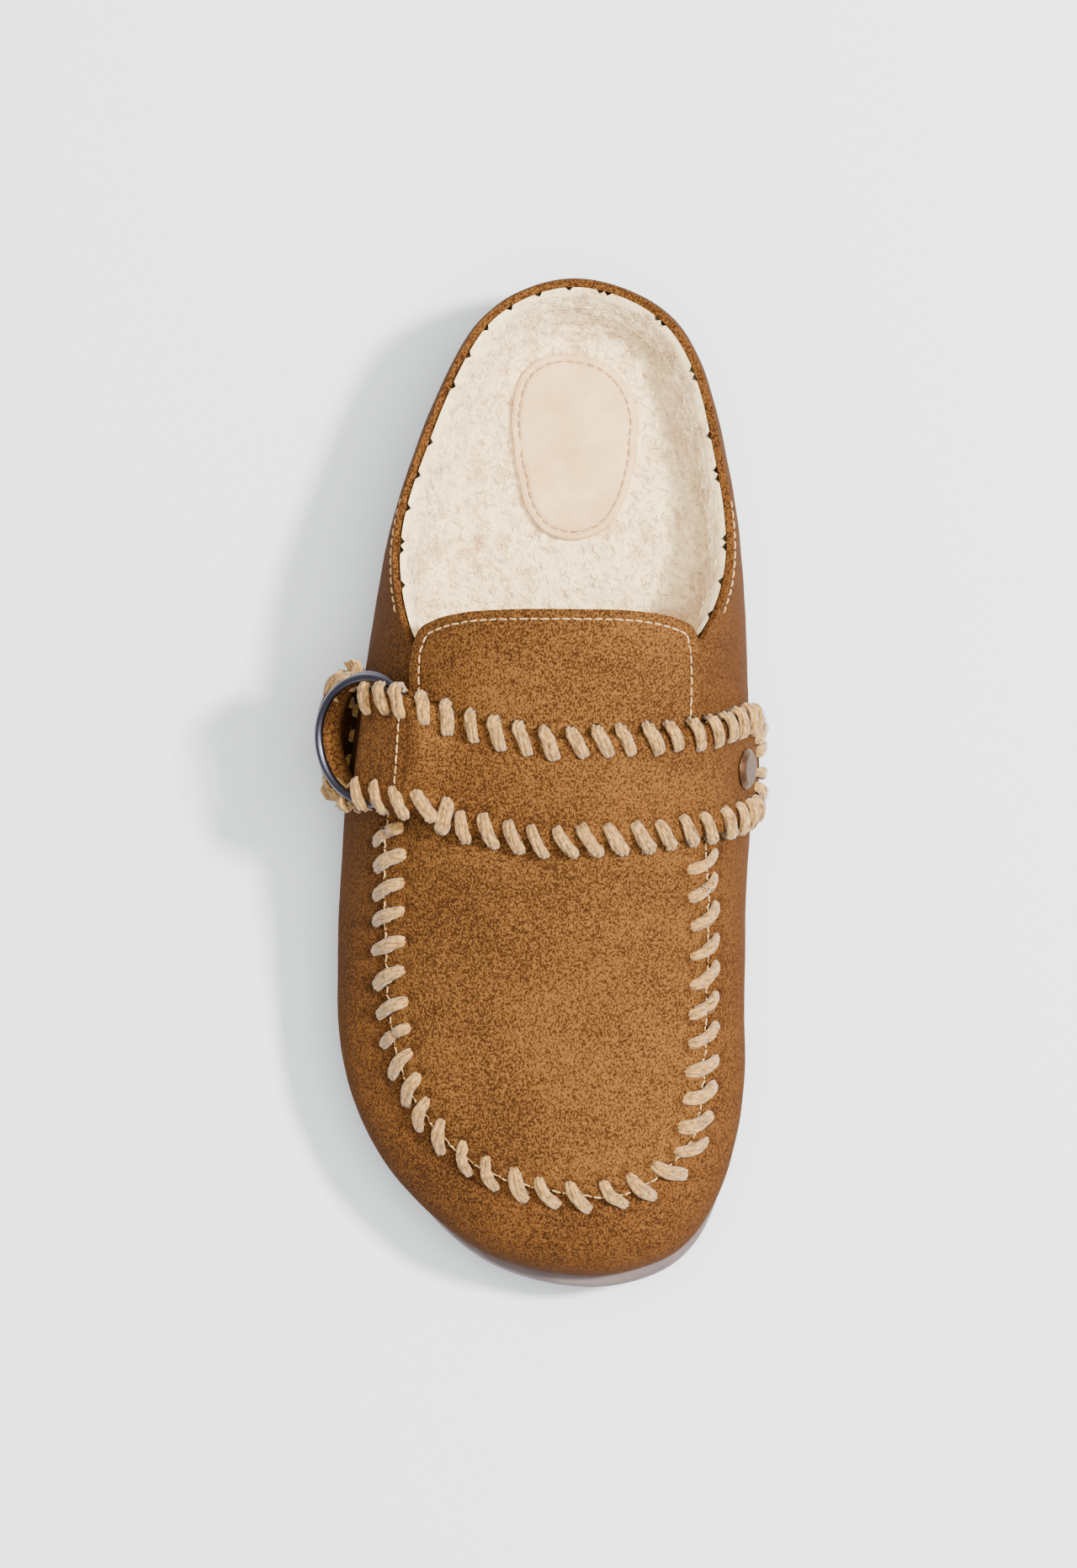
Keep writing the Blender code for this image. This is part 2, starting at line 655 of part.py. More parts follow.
def build_apron():
    """Panel over the forefoot and instep, with its throat tab, laid over the upper."""
    grids = []
    spread = APRON_SPREAD
    for offset in (OVERLAY_GAP, OVERLAY_GAP + APRON_WALL):
        grid = []
        for row in range(APRON_ROWS + 1):
            share = row / APRON_ROWS
            along = APRON[0].along + (APRON_TOE_SHARE - APRON[0].along) * share
            skew = APRON_SKEW_SHARE * share ** 1.5
            low = smooth_read(APRON, along - skew, "lateral") * BALL_WIDTH
            high = smooth_read(APRON, along + skew, "medial") * BALL_WIDTH
            points = []
            for column in range(APRON_COLUMNS + 1):
                side = math.sin(spread * (2.0 * column / APRON_COLUMNS - 1.0)) / math.sin(spread)
                x = 0.5 * (low + high) + 0.5 * (high - low) * side
                points.append(skin_point(x, y_of(apron_along(along, share, side)), offset))
            grid.append(points)
        grids.append(grid)
    shape = bmesh.new()
    slab(shape, *grids)
    return finish_object("apron", shape, (0.38, 0.17, 0.05), 0.92)


class RingFrame:
    """Plane of the inner ring: down points outward and down the lateral side, out points off the shoe."""

    def __init__(self):
        self.radius = 0.5 * (RING_DIAMETER - RING_WIRE)
        self.fold_radius = 0.5 * RING_WIRE + RING_GAP + 0.5 * STRAP_WALL
        y = y_of(RING_SHARE)
        across = side_at(y, "lateral") + RING_INSET
        skin = dome(across + self.radius * math.cos(RING_TILT), y)
        self.middle = Vector((across, y, skin + RING_OFF_SKIN - self.radius * math.sin(RING_TILT)))
        pitch = Matrix.Rotation(RING_PITCH, 3, "X")
        self.down = pitch @ Vector((-math.cos(RING_TILT), 0.0, -math.sin(RING_TILT)))
        self.side = pitch @ Vector((0.0, 1.0, 0.0))
        self.out = pitch @ Vector((-math.sin(RING_TILT), 0.0, math.cos(RING_TILT)))

    def point(self, down, out, side):
        """World point from its places in the plane of the ring."""
        return self.middle + self.down * down + self.out * out + self.side * side

    def arc_drop(self, side):
        """How far the wire's arc has come back towards the middle, beside the middle line."""
        return self.radius - math.sqrt(max(self.radius ** 2 - side ** 2, 0.0))


@functools.lru_cache(maxsize=None)
def section_path(y):
    """Outer face of the upper across the foot at y, from its medial to its lateral widest point."""
    low = side_at(y, "lateral")
    high = side_at(y, "medial")
    steps = 48
    path = []
    for k in range(steps + 1):
        x = 0.5 * (low + high) + 0.5 * (high - low) * math.cos(math.pi * k / steps)
        path.append((x, dome(x, y) if 0 < k < steps else bulge_height(along_of(y))))
    return path


def on_section(y, share, offset):
    """Point off the upper's face, at a share of the way across it at y."""
    path = numpy.array(section_path(round(y, 5)))
    lengths = numpy.concatenate([[0.0], numpy.cumsum(numpy.linalg.norm(numpy.diff(path, axis=0), axis=1))])

    def spot(distance):
        return [float(numpy.interp(distance, lengths, path[:, axis])) for axis in range(2)]

    distance = share * lengths[-1]
    step = 2.0 * SLOPE_STEP
    (x0, z0), (x1, z1) = spot(max(distance - step, 0.0)), spot(distance + step)
    x, z = spot(distance)
    normal = Vector((z1 - z0, 0.0, x0 - x1)).normalized()
    return Vector((x, y, z)) + normal * offset


def strap_along(across):
    """Along share of the strap's middle line at an across place."""
    rows = sorted(STRAP_LINE)
    k = max([i for i in range(len(rows) - 1) if rows[i].across * BALL_WIDTH <= across] or [0])
    start, end = rows[k], rows[k + 1]
    part = (across / BALL_WIDTH - start.across) / (end.across - start.across)
    return start.along + (end.along - start.along) * min(max(part, 0.0), 1.0)


def strap_middle(share):
    """Along Y place of the strap's middle line, at a share of the way across the upper."""
    y = y_of(STRAP_LINE[0].along)
    for _ in range(3):
        y = y_of(strap_along(on_section(y, share, 0.0).x))
    return y


def girth(y):
    """Length of the upper's outer face across the foot at y."""
    path = section_path(round(y, 5))
    return sum(math.dist(start, end) for start, end in zip(path, path[1:]))


def apron_cover(x, y):
    """1 over the apron and just beside it, falling to 0 further out."""
    along = along_of(y)
    low = smooth_read(APRON, along, "lateral") * BALL_WIDTH
    high = smooth_read(APRON, along, "medial") * BALL_WIDTH
    return 1.0 - smoothstep(max(low - x, x - high), STRAP_COVER_NEAR, STRAP_COVER_FAR)


def ribbon(shape, paths):
    """Give a wall to paths that lie side by side along Y, and close it."""
    inner = []
    outer = []
    for path in paths:
        normals = []
        for k in range(len(path)):
            ahead = path[min(k + 1, len(path) - 1)] - path[max(k - 1, 0)]
            normals.append(Vector((-ahead.z, 0.0, ahead.x)).normalized())
        inner.append([point + normal * (0.5 * STRAP_WALL) for point, normal in zip(path, normals)])
        outer.append([point - normal * (0.5 * STRAP_WALL) for point, normal in zip(path, normals)])
    slab(shape, inner, outer)


def fold_path(frame, side, sign, over, lead, tail):
    """Path of a strap round a wire of the inner ring, at its upper (-1) or lower (1) arc.

    It comes in on the outer side of the wire at the upper arc, and on its inner side at the lower one.
    """
    steps = 8
    centre = sign * (frame.radius - frame.arc_drop(side))
    radius = frame.fold_radius
    slant = frame.radius / (frame.radius - frame.arc_drop(side))
    points = [frame.point(centre + sign * lead, over - sign * radius, side)]
    for k in range(steps + 1):
        angle = math.pi * k / steps
        lift = over if k < steps // 2 else 0.0
        points.append(frame.point(centre - sign * slant * radius * math.sin(angle),
                                  lift - sign * radius * math.cos(angle), side))
    points.append(frame.point(centre + sign * tail, sign * radius, side))
    return points


def bridge(start, start_way, end, end_way, steps):
    """Points between two points, on a curve that keeps the way at each."""
    reach = (end - start).length
    points = []
    for k in range(1, steps):
        t = k / steps
        points.append(start * (1.0 - t) ** 2 * (1.0 + 2.0 * t) + start_way * reach * t * (1.0 - t) ** 2
                      + end * t * t * (3.0 - 2.0 * t) - end_way * reach * t * t * (1.0 - t))
    return points



def strap_ends():
    """Shares across the upper where the strap's tip lies and where it leaves for the rings."""
    y = strap_middle(0.02)
    tip = 0.0
    while on_section(y, tip, 0.0).z < bulge_height(along_of(y)) + STRAP_TIP_ABOVE_BULGE:
        tip += 0.0005
    leave = 0.5
    while on_section(strap_middle(leave), leave, 0.0).x > STRAP_LEAVE_SHARE * BALL_WIDTH:
        leave += 0.002
    return tip, leave


def build_strap(frame):
    """Strap over the instep, its inner end rounded, its outer end folded round both rings."""
    tip, leave = strap_ends()
    steps = 26
    across = girth(y_of(STRAP_LINE[2].along))
    shares = [tip + (leave - tip) * (0.35 * k / steps + 0.65 * (k / steps) ** 1.5) for k in range(steps + 1)]
    middles = [strap_middle(share) for share in shares]
    paths = []
    for column in STRAP_COLUMNS:
        path = []
        for share, middle in zip(shares, middles):
            width = 0.5 * STRAP_WIDTH
            from_tip = (share - tip) * across
            if from_tip < STRAP_END_ROUND:
                round_part = math.sqrt(1.0 - (1.0 - from_tip / STRAP_END_ROUND) ** 2)
                width *= STRAP_TIP_BLUNT + (1.0 - STRAP_TIP_BLUNT) * round_part
            y = middle + column * width
            bare = on_section(y, share, 0.0)
            cover = (OVERLAY_GAP + APRON_WALL) * apron_cover(bare.x, y)
            path.append(on_section(y, share, OVERLAY_GAP + 0.5 * STRAP_WALL + cover))
        side = column * 0.5 * STRAP_FOLD_WIDTH
        over = RING_LIFT + frame.arc_drop(side) * math.sin(RING_SPLAY)
        fold = fold_path(frame, side, -1.0, over, RING_WIRE + 2.0 * RING_GAP, FOLD_RETURN)
        leave_way = (path[-1] - path[-2]).normalized()
        path += bridge(path[-1], leave_way, fold[0], frame.down, 6)
        paths.append(path + fold)
    shape = bmesh.new()
    ribbon(shape, paths)
    return finish_object("strap", shape, (0.36, 0.16, 0.045), 0.92)


def build_rings(frame):
    """Two metal rings, side by side in the strap's fold and splayed over the side strap."""
    turn = Matrix((frame.down, -frame.side, frame.out)).transposed().to_4x4()
    hinge = Matrix.Translation((-frame.radius, 0.0, 0.0))
    sides = (("ring_inner", 0.0, 0.0, 0.0), ("ring_outer", RING_WIRE + RING_GAP, RING_LIFT, RING_SPLAY))
    for name, shift, lift, splay in sides:
        shape = bmesh.new()
        made = bmesh.ops.create_circle(shape, segments=8, radius=0.5 * RING_WIRE)
        bmesh.ops.rotate(shape, verts=made["verts"], matrix=Matrix.Rotation(0.5 * math.pi, 3, "X"))
        bmesh.ops.translate(shape, verts=made["verts"], vec=(frame.radius, 0.0, 0.0))
        bmesh.ops.spin(shape, geom=shape.verts[:] + shape.edges[:], angle=2.0 * math.pi, steps=36,
                       axis=(0.0, 0.0, 1.0), cent=(0.0, 0.0, 0.0), use_merge=True)
        ring = finish_object(name, shape, (0.055, 0.050, 0.055), 0.32, 1.0)
        place = Matrix.Translation(frame.middle) @ turn @ Matrix.Translation((-shift, 0.0, lift))
        ring.matrix_world = place @ hinge @ Matrix.Rotation(-splay, 4, "Y") @ hinge.inverted()


def build_side_strap(frame):
    """Strap from the sole up to the rings, round the inner one and down under the outer one."""
    off = 0.5 * STRAP_WALL + 2.0 * OVERLAY_GAP
    halfway = FEATHER_ROWS[-1]
    paths = []
    for column in STRAP_COLUMNS:
        y = frame.middle.y + column * 0.5 * STRAP_WIDTH
        edge = side_at(y, "lateral")
        foot = sole_top(along_of(y)) + SEAT_GAP
        bulge = bulge_height(along_of(y))
        path = [
            Vector((edge + FEATHER_TUCK - off, y, foot + OVERLAY_GAP)),
            Vector((edge + halfway.tuck * FEATHER_TUCK - off, y, foot + halfway.rise * (bulge - foot))),
            Vector((edge - off, y, bulge)),
        ]
        fold = fold_path(frame, column * 0.5 * STRAP_FOLD_WIDTH, 1.0, 0.0, FOLD_RETURN, FOLD_RETURN)
        path += bridge(path[-1], Vector((0.0, 0.0, 1.0)), fold[0], -frame.down, 4)
        path += fold
        end = fold[-1]
        for row in TAIL_ROWS:
            y_tail = end.y + (y - end.y) * row.spread
            y_tail = frame.middle.y + (y_tail - frame.middle.y) * row.width
            path.append(Vector((end.x - row.outward * TAIL_DROP, y_tail, end.z - row.drop * TAIL_DROP)))
        paths.append(path)
    shape = bmesh.new()
    ribbon(shape, paths)
    return finish_object("side_strap", shape, (0.34, 0.15, 0.042), 0.92)


def strap_face(share, beside=0.0):
    """Point of the strap's outer face beside its middle line, at a share of the way across the upper."""
    y = strap_middle(share) + beside
    cover = (OVERLAY_GAP + APRON_WALL) * apron_cover(on_section(y, share, 0.0).x, y)
    return on_section(y, share, OVERLAY_GAP + STRAP_WALL + cover)


def build_rivet():
    """Domed metal cap on the strap's rounded end."""
    tip, _ = strap_ends()
    across = girth(y_of(STRAP_LINE[0].along))
    share = tip + RIVET_FROM_TIP / across
    reach = 0.4 * RIVET_DIAMETER
    ahead = strap_face(share + reach / across) - strap_face(share - reach / across)
    side = strap_face(share, reach) - strap_face(share, -reach)
    normal = side.cross(ahead).normalized()
    seat = strap_face(share) + normal * SEAT_GAP
    shape = bmesh.new()
    bmesh.ops.create_cone(shape, cap_ends=True, cap_tris=False, segments=24, radius1=0.5 * RIVET_DIAMETER,
                          radius2=0.36 * RIVET_DIAMETER, depth=RIVET_HEIGHT)
    rivet = finish_object("rivet", shape, (0.06, 0.035, 0.02), 0.38, 1.0)
    turn = normal.to_track_quat("Z", "Y").to_matrix().to_4x4()
    rivet.matrix_world = Matrix.Translation(seat + normal * (0.5 * RIVET_HEIGHT)) @ turn


def main():
    """Build the shoe."""
    for item in list(bpy.data.objects):
        bpy.data.objects.remove(item, do_unlink=True)
    frame = RingFrame()
    build_outsole()
    build_insole()
    build_heel_patch()
    build_upper()
    build_apron()
    build_strap(frame)
    build_rings(frame)
    build_side_strap(frame)
    build_rivet()
    for item in bpy.data.objects:
        item.matrix_world = Matrix.Translation((-WIDTH_MIDDLE, 0.0, 0.0)) @ item.matrix_world


main()
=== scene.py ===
"""Looks of the buckled suede clog, right foot, built round its packed construction model.

Metres, +Z up. The toe points along -Y, the heel along +Y and the inner side of the foot along +X.
"""

import logging
import math
import random
from collections import Counter
from dataclasses import dataclass
from enum import Enum

import bmesh
import bpy
import numpy as np
from mathutils import Matrix, Vector, noise
from mathutils.bvhtree import BVHTree
from mathutils.kdtree import KDTree

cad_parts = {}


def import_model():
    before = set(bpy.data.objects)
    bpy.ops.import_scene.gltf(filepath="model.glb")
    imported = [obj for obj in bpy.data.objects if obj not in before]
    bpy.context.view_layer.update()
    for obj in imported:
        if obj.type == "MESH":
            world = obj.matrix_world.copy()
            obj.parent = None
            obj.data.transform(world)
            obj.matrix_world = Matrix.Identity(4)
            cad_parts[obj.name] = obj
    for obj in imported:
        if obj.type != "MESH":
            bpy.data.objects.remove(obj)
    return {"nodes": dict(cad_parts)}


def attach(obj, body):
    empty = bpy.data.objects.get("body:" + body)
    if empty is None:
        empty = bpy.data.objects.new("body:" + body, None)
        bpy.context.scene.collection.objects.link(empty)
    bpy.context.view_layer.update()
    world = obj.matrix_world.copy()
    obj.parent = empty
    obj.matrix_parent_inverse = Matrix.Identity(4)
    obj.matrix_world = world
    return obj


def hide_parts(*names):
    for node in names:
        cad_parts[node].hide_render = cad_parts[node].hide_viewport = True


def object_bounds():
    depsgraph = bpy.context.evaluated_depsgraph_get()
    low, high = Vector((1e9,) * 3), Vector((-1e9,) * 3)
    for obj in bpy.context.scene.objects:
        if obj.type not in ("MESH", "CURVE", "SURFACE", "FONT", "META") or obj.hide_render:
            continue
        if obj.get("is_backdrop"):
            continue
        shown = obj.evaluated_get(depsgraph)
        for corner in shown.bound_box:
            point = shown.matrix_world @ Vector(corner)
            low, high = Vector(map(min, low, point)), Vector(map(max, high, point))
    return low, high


log = logging.getLogger("clog")

MILLIMETRE = 0.001


def paint(red: float, green: float, blue: float) -> tuple[float, float, float, float]:
    """Linear colour of a display colour given from 0 to 255."""
    parts = []
    for value in (red, green, blue):
        share = value / 255.0
        parts.append(share / 12.92 if share <= 0.04045 else ((share + 0.055) / 1.055) ** 2.4)
    return (*parts, 1.0)


class Signal:
    """Output socket of a shader tree, with arithmetic that adds the nodes it needs."""

    def __init__(self, tree: "ShaderTree", socket: bpy.types.NodeSocket):
        self.tree = tree
        self.socket = socket

    def _arithmetic(self, operation: str, first, second=0.0) -> "Signal":
        """Result of one Math node."""
        return self.tree.node("ShaderNodeMath", {0: first, 1: second}, operation=operation)

    def __add__(self, other) -> "Signal":
        return self._arithmetic("ADD", self, other)

    def __radd__(self, other) -> "Signal":
        return self._arithmetic("ADD", other, self)

    def __sub__(self, other) -> "Signal":
        return self._arithmetic("SUBTRACT", self, other)

    def __rsub__(self, other) -> "Signal":
        return self._arithmetic("SUBTRACT", other, self)

    def __mul__(self, other) -> "Signal":
        return self._arithmetic("MULTIPLY", self, other)

    def __rmul__(self, other) -> "Signal":
        return self._arithmetic("MULTIPLY", other, self)

    def __pow__(self, other) -> "Signal":
        return self._arithmetic("POWER", self, other)

    def between(self, low: float, high: float) -> "Signal":
        """Rise from 0 at low to 1 at high, with level ends."""
        return self.tree.node("ShaderNodeMapRange", {0: self, 1: low, 2: high, 3: 0.0, 4: 1.0},
                              interpolation_type="SMOOTHSTEP")


class ShaderTree:
    """Node tree of one material and the ways to add to it."""

    def __init__(self, name: str):
        self.material = bpy.data.materials.new(name)
        self.material.use_nodes = True
        self.tree = self.material.node_tree
        self.shader = self.tree.nodes["Principled BSDF"]

    def node(self, kind: str, inputs: dict, output: int = 0, **settings) -> Signal:
        """Add a node.

        Args:
            kind: Blender's name of the node type.
            inputs: Signals or constants by socket index or name.
            output: Index of the output to hand back.
            settings: Properties of the node.

        Returns:
            The chosen output.
        """
        made = self.tree.nodes.new(kind)
        for key, value in settings.items():
            setattr(made, key, value)
        for key, value in inputs.items():
            if isinstance(value, Signal):
                self.tree.links.new(value.socket, made.inputs[key])
            else:
                made.inputs[key].default_value = value
        return Signal(self, made.outputs[output])

    def place(self, size: float | tuple[float, float, float]) -> Signal:
        """Object coordinates, measured in steps of the given size in metres."""
        sizes = size if isinstance(size, tuple) else (size, size, size)
        point = self.node("ShaderNodeTexCoord", {}, output=3)
        return self.node("ShaderNodeMapping", {0: point, 3: tuple(1.0 / value for value in sizes)})

    def noise(self, place: Signal, detail: float = 2.0, roughness: float = 0.5,
              distortion: float = 0.0) -> Signal:
        """Noise from 0 to 1 over a place."""
        return self.node("ShaderNodeTexNoise", {"Vector": place, "Scale": 1.0, "Detail": detail,
                                                "Roughness": roughness, "Distortion": distortion})

    def attribute(self, name: str) -> Signal:
        """Value of a mesh attribute."""
        return self.node("ShaderNodeAttribute", {}, output=2, attribute_name=name)

    def mix(self, factor, first, second) -> Signal:
        """Colour between two colours."""
        return self.node("ShaderNodeMix", {0: factor, 6: first, 7: second}, output=2, data_type="RGBA")

    def bump(self, height: Signal, distance: float, strength: float = 1.0) -> Signal:
        """Normal of a height field whose full height is the distance in metres."""
        return self.node("ShaderNodeBump", {"Height": height, "Distance": distance, "Strength": strength})

    def link(self, name: str, signal: Signal) -> None:
        """Feed a signal to an input of the surface shader."""
        self.tree.links.new(signal.socket, self.shader.inputs[name])

    def fix(self, **constants) -> None:
        """Set constants on the surface shader, named with underscores for spaces."""
        for key, value in constants.items():
            self.shader.inputs[key.replace("_", " ")].default_value = value


@dataclass(frozen=True)
class SuedeFinish:
    """Napped suede: short fibres that catch the light, brush marks and rubbed patches, with painted shade on faces
    turned away from up and at stitches, seams and edges.
    """

    name: str
    light: tuple
    dark: tuple
    grain: float = 0.00046
    nap_depth: float = 0.00046
    brush: float = 0.35
    # Painted shade: colour that faces turned away from up are darkened towards
    painted_side_shade: tuple = paint(66, 37, 14)
    # Painted shade: colour for the stitch holes, stitch lines and seams, and for the darker edges
    painted_shade: tuple = paint(40, 20, 7)

    def material(self) -> bpy.types.Material:
        """Build the material."""
        tree = ShaderTree(self.name)
        nap = tree.noise(tree.place((self.grain, self.grain * 1.4, self.grain)), 3.0, 0.6, 0.25)
        tuft = tree.noise(tree.place(self.grain * 3.1), 2.0, 0.5)
        stroke = tree.noise(tree.place((0.034, 0.016, 0.024)), 3.0, 0.55, 0.7)
        patch = tree.noise(tree.place(0.055), 2.0, 0.5, 0.4)
        tone = (nap.between(0.36, 0.64) - 0.5) * 1.25 + (tuft.between(0.3, 0.7) - 0.5) * 0.30
        tone = tone + (stroke.between(0.25, 0.75) - 0.5) * self.brush + (patch.between(0.3, 0.7) - 0.5) * 0.18
        colour = tree.mix((tone + 0.5).between(-0.15, 1.15), self.dark, self.light)
        # Painted shade: faces turned away from up, read from the 'turn' attribute, are darkened towards the side-shade
        # colour
        colour = tree.mix(tree.attribute("turn").between(0.03, 0.72) * 0.62, colour, self.painted_side_shade)
        # Painted shade at the stitch holes, stitch lines and seams, and darker edges, read from the 'shade' attribute
        colour = tree.mix(tree.attribute("shade") * 0.8, colour, self.painted_shade)
        tree.link("Base Color", colour)
        tree.link("Roughness", 0.86 + nap * 0.12)
        tree.link("Normal", tree.bump(nap * 0.75 + tuft * 0.5, self.nap_depth, 1.0))
        tree.fix(Specular_IOR_Level=0.08, Sheen_Weight=0.10, Sheen_Roughness=0.42, Sheen_Tint=self.light)
        return tree.material


@dataclass(frozen=True)
class FleeceFinish:
    """Cream shearling: curly pile, tan in its depth as painted shade in the pile's hollows, with its own tan mottling.
    """

    name: str = "shearling fleece"
    tip: tuple = paint(255, 228, 176)
    # Painted shade: colour that the pile's low hollows are darkened towards
    root: tuple = paint(172, 118, 60)

    def material(self) -> bpy.types.Material:
        """Build the material."""
        tree = ShaderTree(self.name)
        curl = tree.noise(tree.place(0.0016), 3.0, 0.6, 2.2)
        wisp = tree.noise(tree.place(0.0005), 2.0, 0.6, 0.8)
        patch = tree.noise(tree.place(0.012), 3.0, 0.6, 0.8)
        depth = tree.attribute("pile")
        # Painted shade: the lower a place of the pile, the nearer its colour comes to the root colour; the noises add
        # the fleece's own mottling
        tone = depth * 0.66 + curl.between(0.3, 0.7) * 0.26 + patch.between(0.3, 0.7) * 0.26 + wisp * 0.10
        tree.link("Base Color", tree.mix(tone.between(0.1, 0.95), self.root, self.tip))
        tree.link("Roughness", 0.9 + wisp * 0.1)
        tree.link("Normal", tree.bump(curl * 0.8 + wisp * 0.4, 0.0007, 0.8))
        tree.fix(Specular_IOR_Level=0.1, Sheen_Weight=0.3, Sheen_Roughness=0.6,
                 Subsurface_Weight=0.15, Subsurface_Radius=(0.004, 0.003, 0.002), Subsurface_Scale=0.5)
        return tree.material


@dataclass(frozen=True)
class YarnFinish:
    """Spun yarn or thread: fine fibres along its length."""

    name: str
    light: tuple
    dark: tuple
    fibre: float = 9.0
    roughness: float = 0.85
    sheen: float = 0.3

    def material(self) -> bpy.types.Material:
        """Build the material."""
        tree = ShaderTree(self.name)
        along = tree.node("ShaderNodeUVMap", {}, uv_map="fibre")
        streaks = tree.node("ShaderNodeMapping", {0: along, 3: (self.fibre, 1.1, 1.0)})
        fibres = tree.noise(streaks, 3.0, 0.65, 0.3)
        speck = tree.noise(tree.place(0.0012), 2.0, 0.6)
        tone = fibres.between(0.28, 0.72) * 0.75 + speck.between(0.3, 0.7) * 0.35
        colour = tree.mix(tone.between(0.0, 1.0), self.dark, self.light)
        tree.link("Base Color", colour)
        tree.link("Normal", tree.bump(fibres, 0.0003, 0.9))
        tree.fix(Roughness=self.roughness, Specular_IOR_Level=0.25, Sheen_Weight=self.sheen, Sheen_Roughness=0.5)
        return tree.material


@dataclass(frozen=True)
class MetalFinish:
    """Dark plated metal with a satin, slightly handled face."""

    name: str
    colour: tuple
    roughness: float = 0.3

    def material(self) -> bpy.types.Material:
        """Build the material."""
        tree = ShaderTree(self.name)
        smudge = tree.noise(tree.place(0.004), 3.0, 0.6)
        grain = tree.noise(tree.place((0.0002, 0.0012, 0.0002)), 2.0, 0.5)
        tree.link("Roughness", self.roughness + smudge * 0.16)
        tree.link("Normal", tree.bump(grain, 0.00003, 0.5))
        tree.fix(Base_Color=self.colour, Metallic=1.0)
        return tree.material


@dataclass(frozen=True)
class PatchFinish:
    """Smooth pale skin side of the heel pad."""

    name: str = "pale smooth suede"
    light: tuple = paint(232, 196, 144)
    dark: tuple = paint(204, 162, 108)

    def material(self) -> bpy.types.Material:
        """Build the material."""
        tree = ShaderTree(self.name)
        grain = tree.noise(tree.place(0.0006), 3.0, 0.6)
        patch = tree.noise(tree.place(0.012), 3.0, 0.55, 0.5)
        tone = grain.between(0.3, 0.7) * 0.35 + patch.between(0.3, 0.7) * 0.65
        colour = tree.mix(tone, self.dark, self.light)
        # Painted shade from the 'shade' attribute, at the stitch groove and the pad's edge
        tree.link("Base Color", tree.mix(tree.attribute("shade") * 0.6, colour, paint(150, 112, 74)))
        tree.link("Roughness", 0.72 + grain * 0.15)
        tree.link("Normal", tree.bump(grain, 0.00012, 0.7))
        tree.fix(Specular_IOR_Level=0.25, Sheen_Weight=0.15)
        return tree.material


@dataclass(frozen=True)
class RubberFinish:
    """Matt moulded rubber, dusty from the floor."""

    name: str = "moulded rubber"
    colour: tuple = paint(88, 74, 72)
    dust: tuple = paint(118, 106, 102)

    def material(self) -> bpy.types.Material:
        """Build the material."""
        tree = ShaderTree(self.name)
        grain = tree.noise(tree.place(0.0005), 2.0, 0.6)
        scuff = tree.noise(tree.place((0.02, 0.02, 0.006)), 4.0, 0.65, 0.6)
        tree.link("Base Color", tree.mix(scuff.between(0.45, 0.8) * 0.7, self.colour, self.dust))
        tree.link("Roughness", 0.62 + scuff * 0.2)
        tree.link("Normal", tree.bump(grain, 0.0001, 0.6))
        return tree.material


class Node(Enum):
    """Pieces of the construction model."""

    OUTSOLE = "outsole"
    INSOLE = "insole"
    HEEL_PATCH = "heel_patch"
    UPPER = "upper"
    APRON = "apron"
    STRAP = "strap"
    SIDE_STRAP = "side_strap"
    RING_INNER = "ring_inner"
    RING_OUTER = "ring_outer"
    RIVET = "rivet"


class Ring:
    """Place of the inner ring, and how the straps' folds spread in it.

    In its plane, down points off the shoe, side along the shoe, and out away from the skin.
    """

    widen = 0.34
    widen_loop = 0.48
    blend = 0.015
    blend_loop = 0.024
    loop_reach = 0.0145
    loop_slant = 0.0040
    loop_round = 0.0060

    def __init__(self, mesh: bpy.types.Mesh):
        places = np.array([tuple(vert.co) for vert in mesh.vertices])
        self.middle = Vector(places.mean(axis=0))
        self.out = Vector(np.linalg.svd(places - places.mean(axis=0))[2][2])
        if self.out.z < 0.0:
            self.out = -self.out
        ahead = Vector((0.0, 1.0, 0.0))
        self.side = (ahead - self.out * self.out.dot(ahead)).normalized()
        self.down = self.out.cross(self.side)
        self.radius = float(np.linalg.norm(places - places.mean(axis=0), axis=1).mean())

    def drop(self, side: float) -> float:
        """How far the wire has come back towards the middle at a distance to the side."""
        return self.radius - math.sqrt(max(self.radius ** 2 - side ** 2, 0.0))

    def hides(self, spot: Vector) -> bool:
        """Whether a spot lies on the end that is folded back under the ring."""
        offset = spot - self.middle
        return offset.dot(self.out) < -0.0012 and offset.length < 0.0215

    def spread(self, shape: bmesh.types.BMesh, upper: bool) -> None:
        """Widen a strap's fold along the wire, and draw the upper strap's loop out over the ring."""
        arc = -1.0 if upper else 1.0
        for vert in shape.verts:
            offset = vert.co - self.middle
            down = offset.dot(self.down)
            side = offset.dot(self.side)
            wire = arc * (self.radius - self.drop(side))
            far = self.blend_loop if upper else self.blend
            near = 1.0 - fade(math.hypot(down - wire, offset.dot(self.out)), 0.004, far)
            wide = side * (1.0 + (self.widen_loop if upper else self.widen) * near)
            shift = -arc * near * (self.drop(wide) - self.drop(side))
            if upper and down > wire + 0.0003:
                share = wide / 0.0140
                shift += self.loop_reach - self.loop_slant * share - self.loop_round * share ** 2
            vert.co += self.side * (wide - side) + self.down * shift


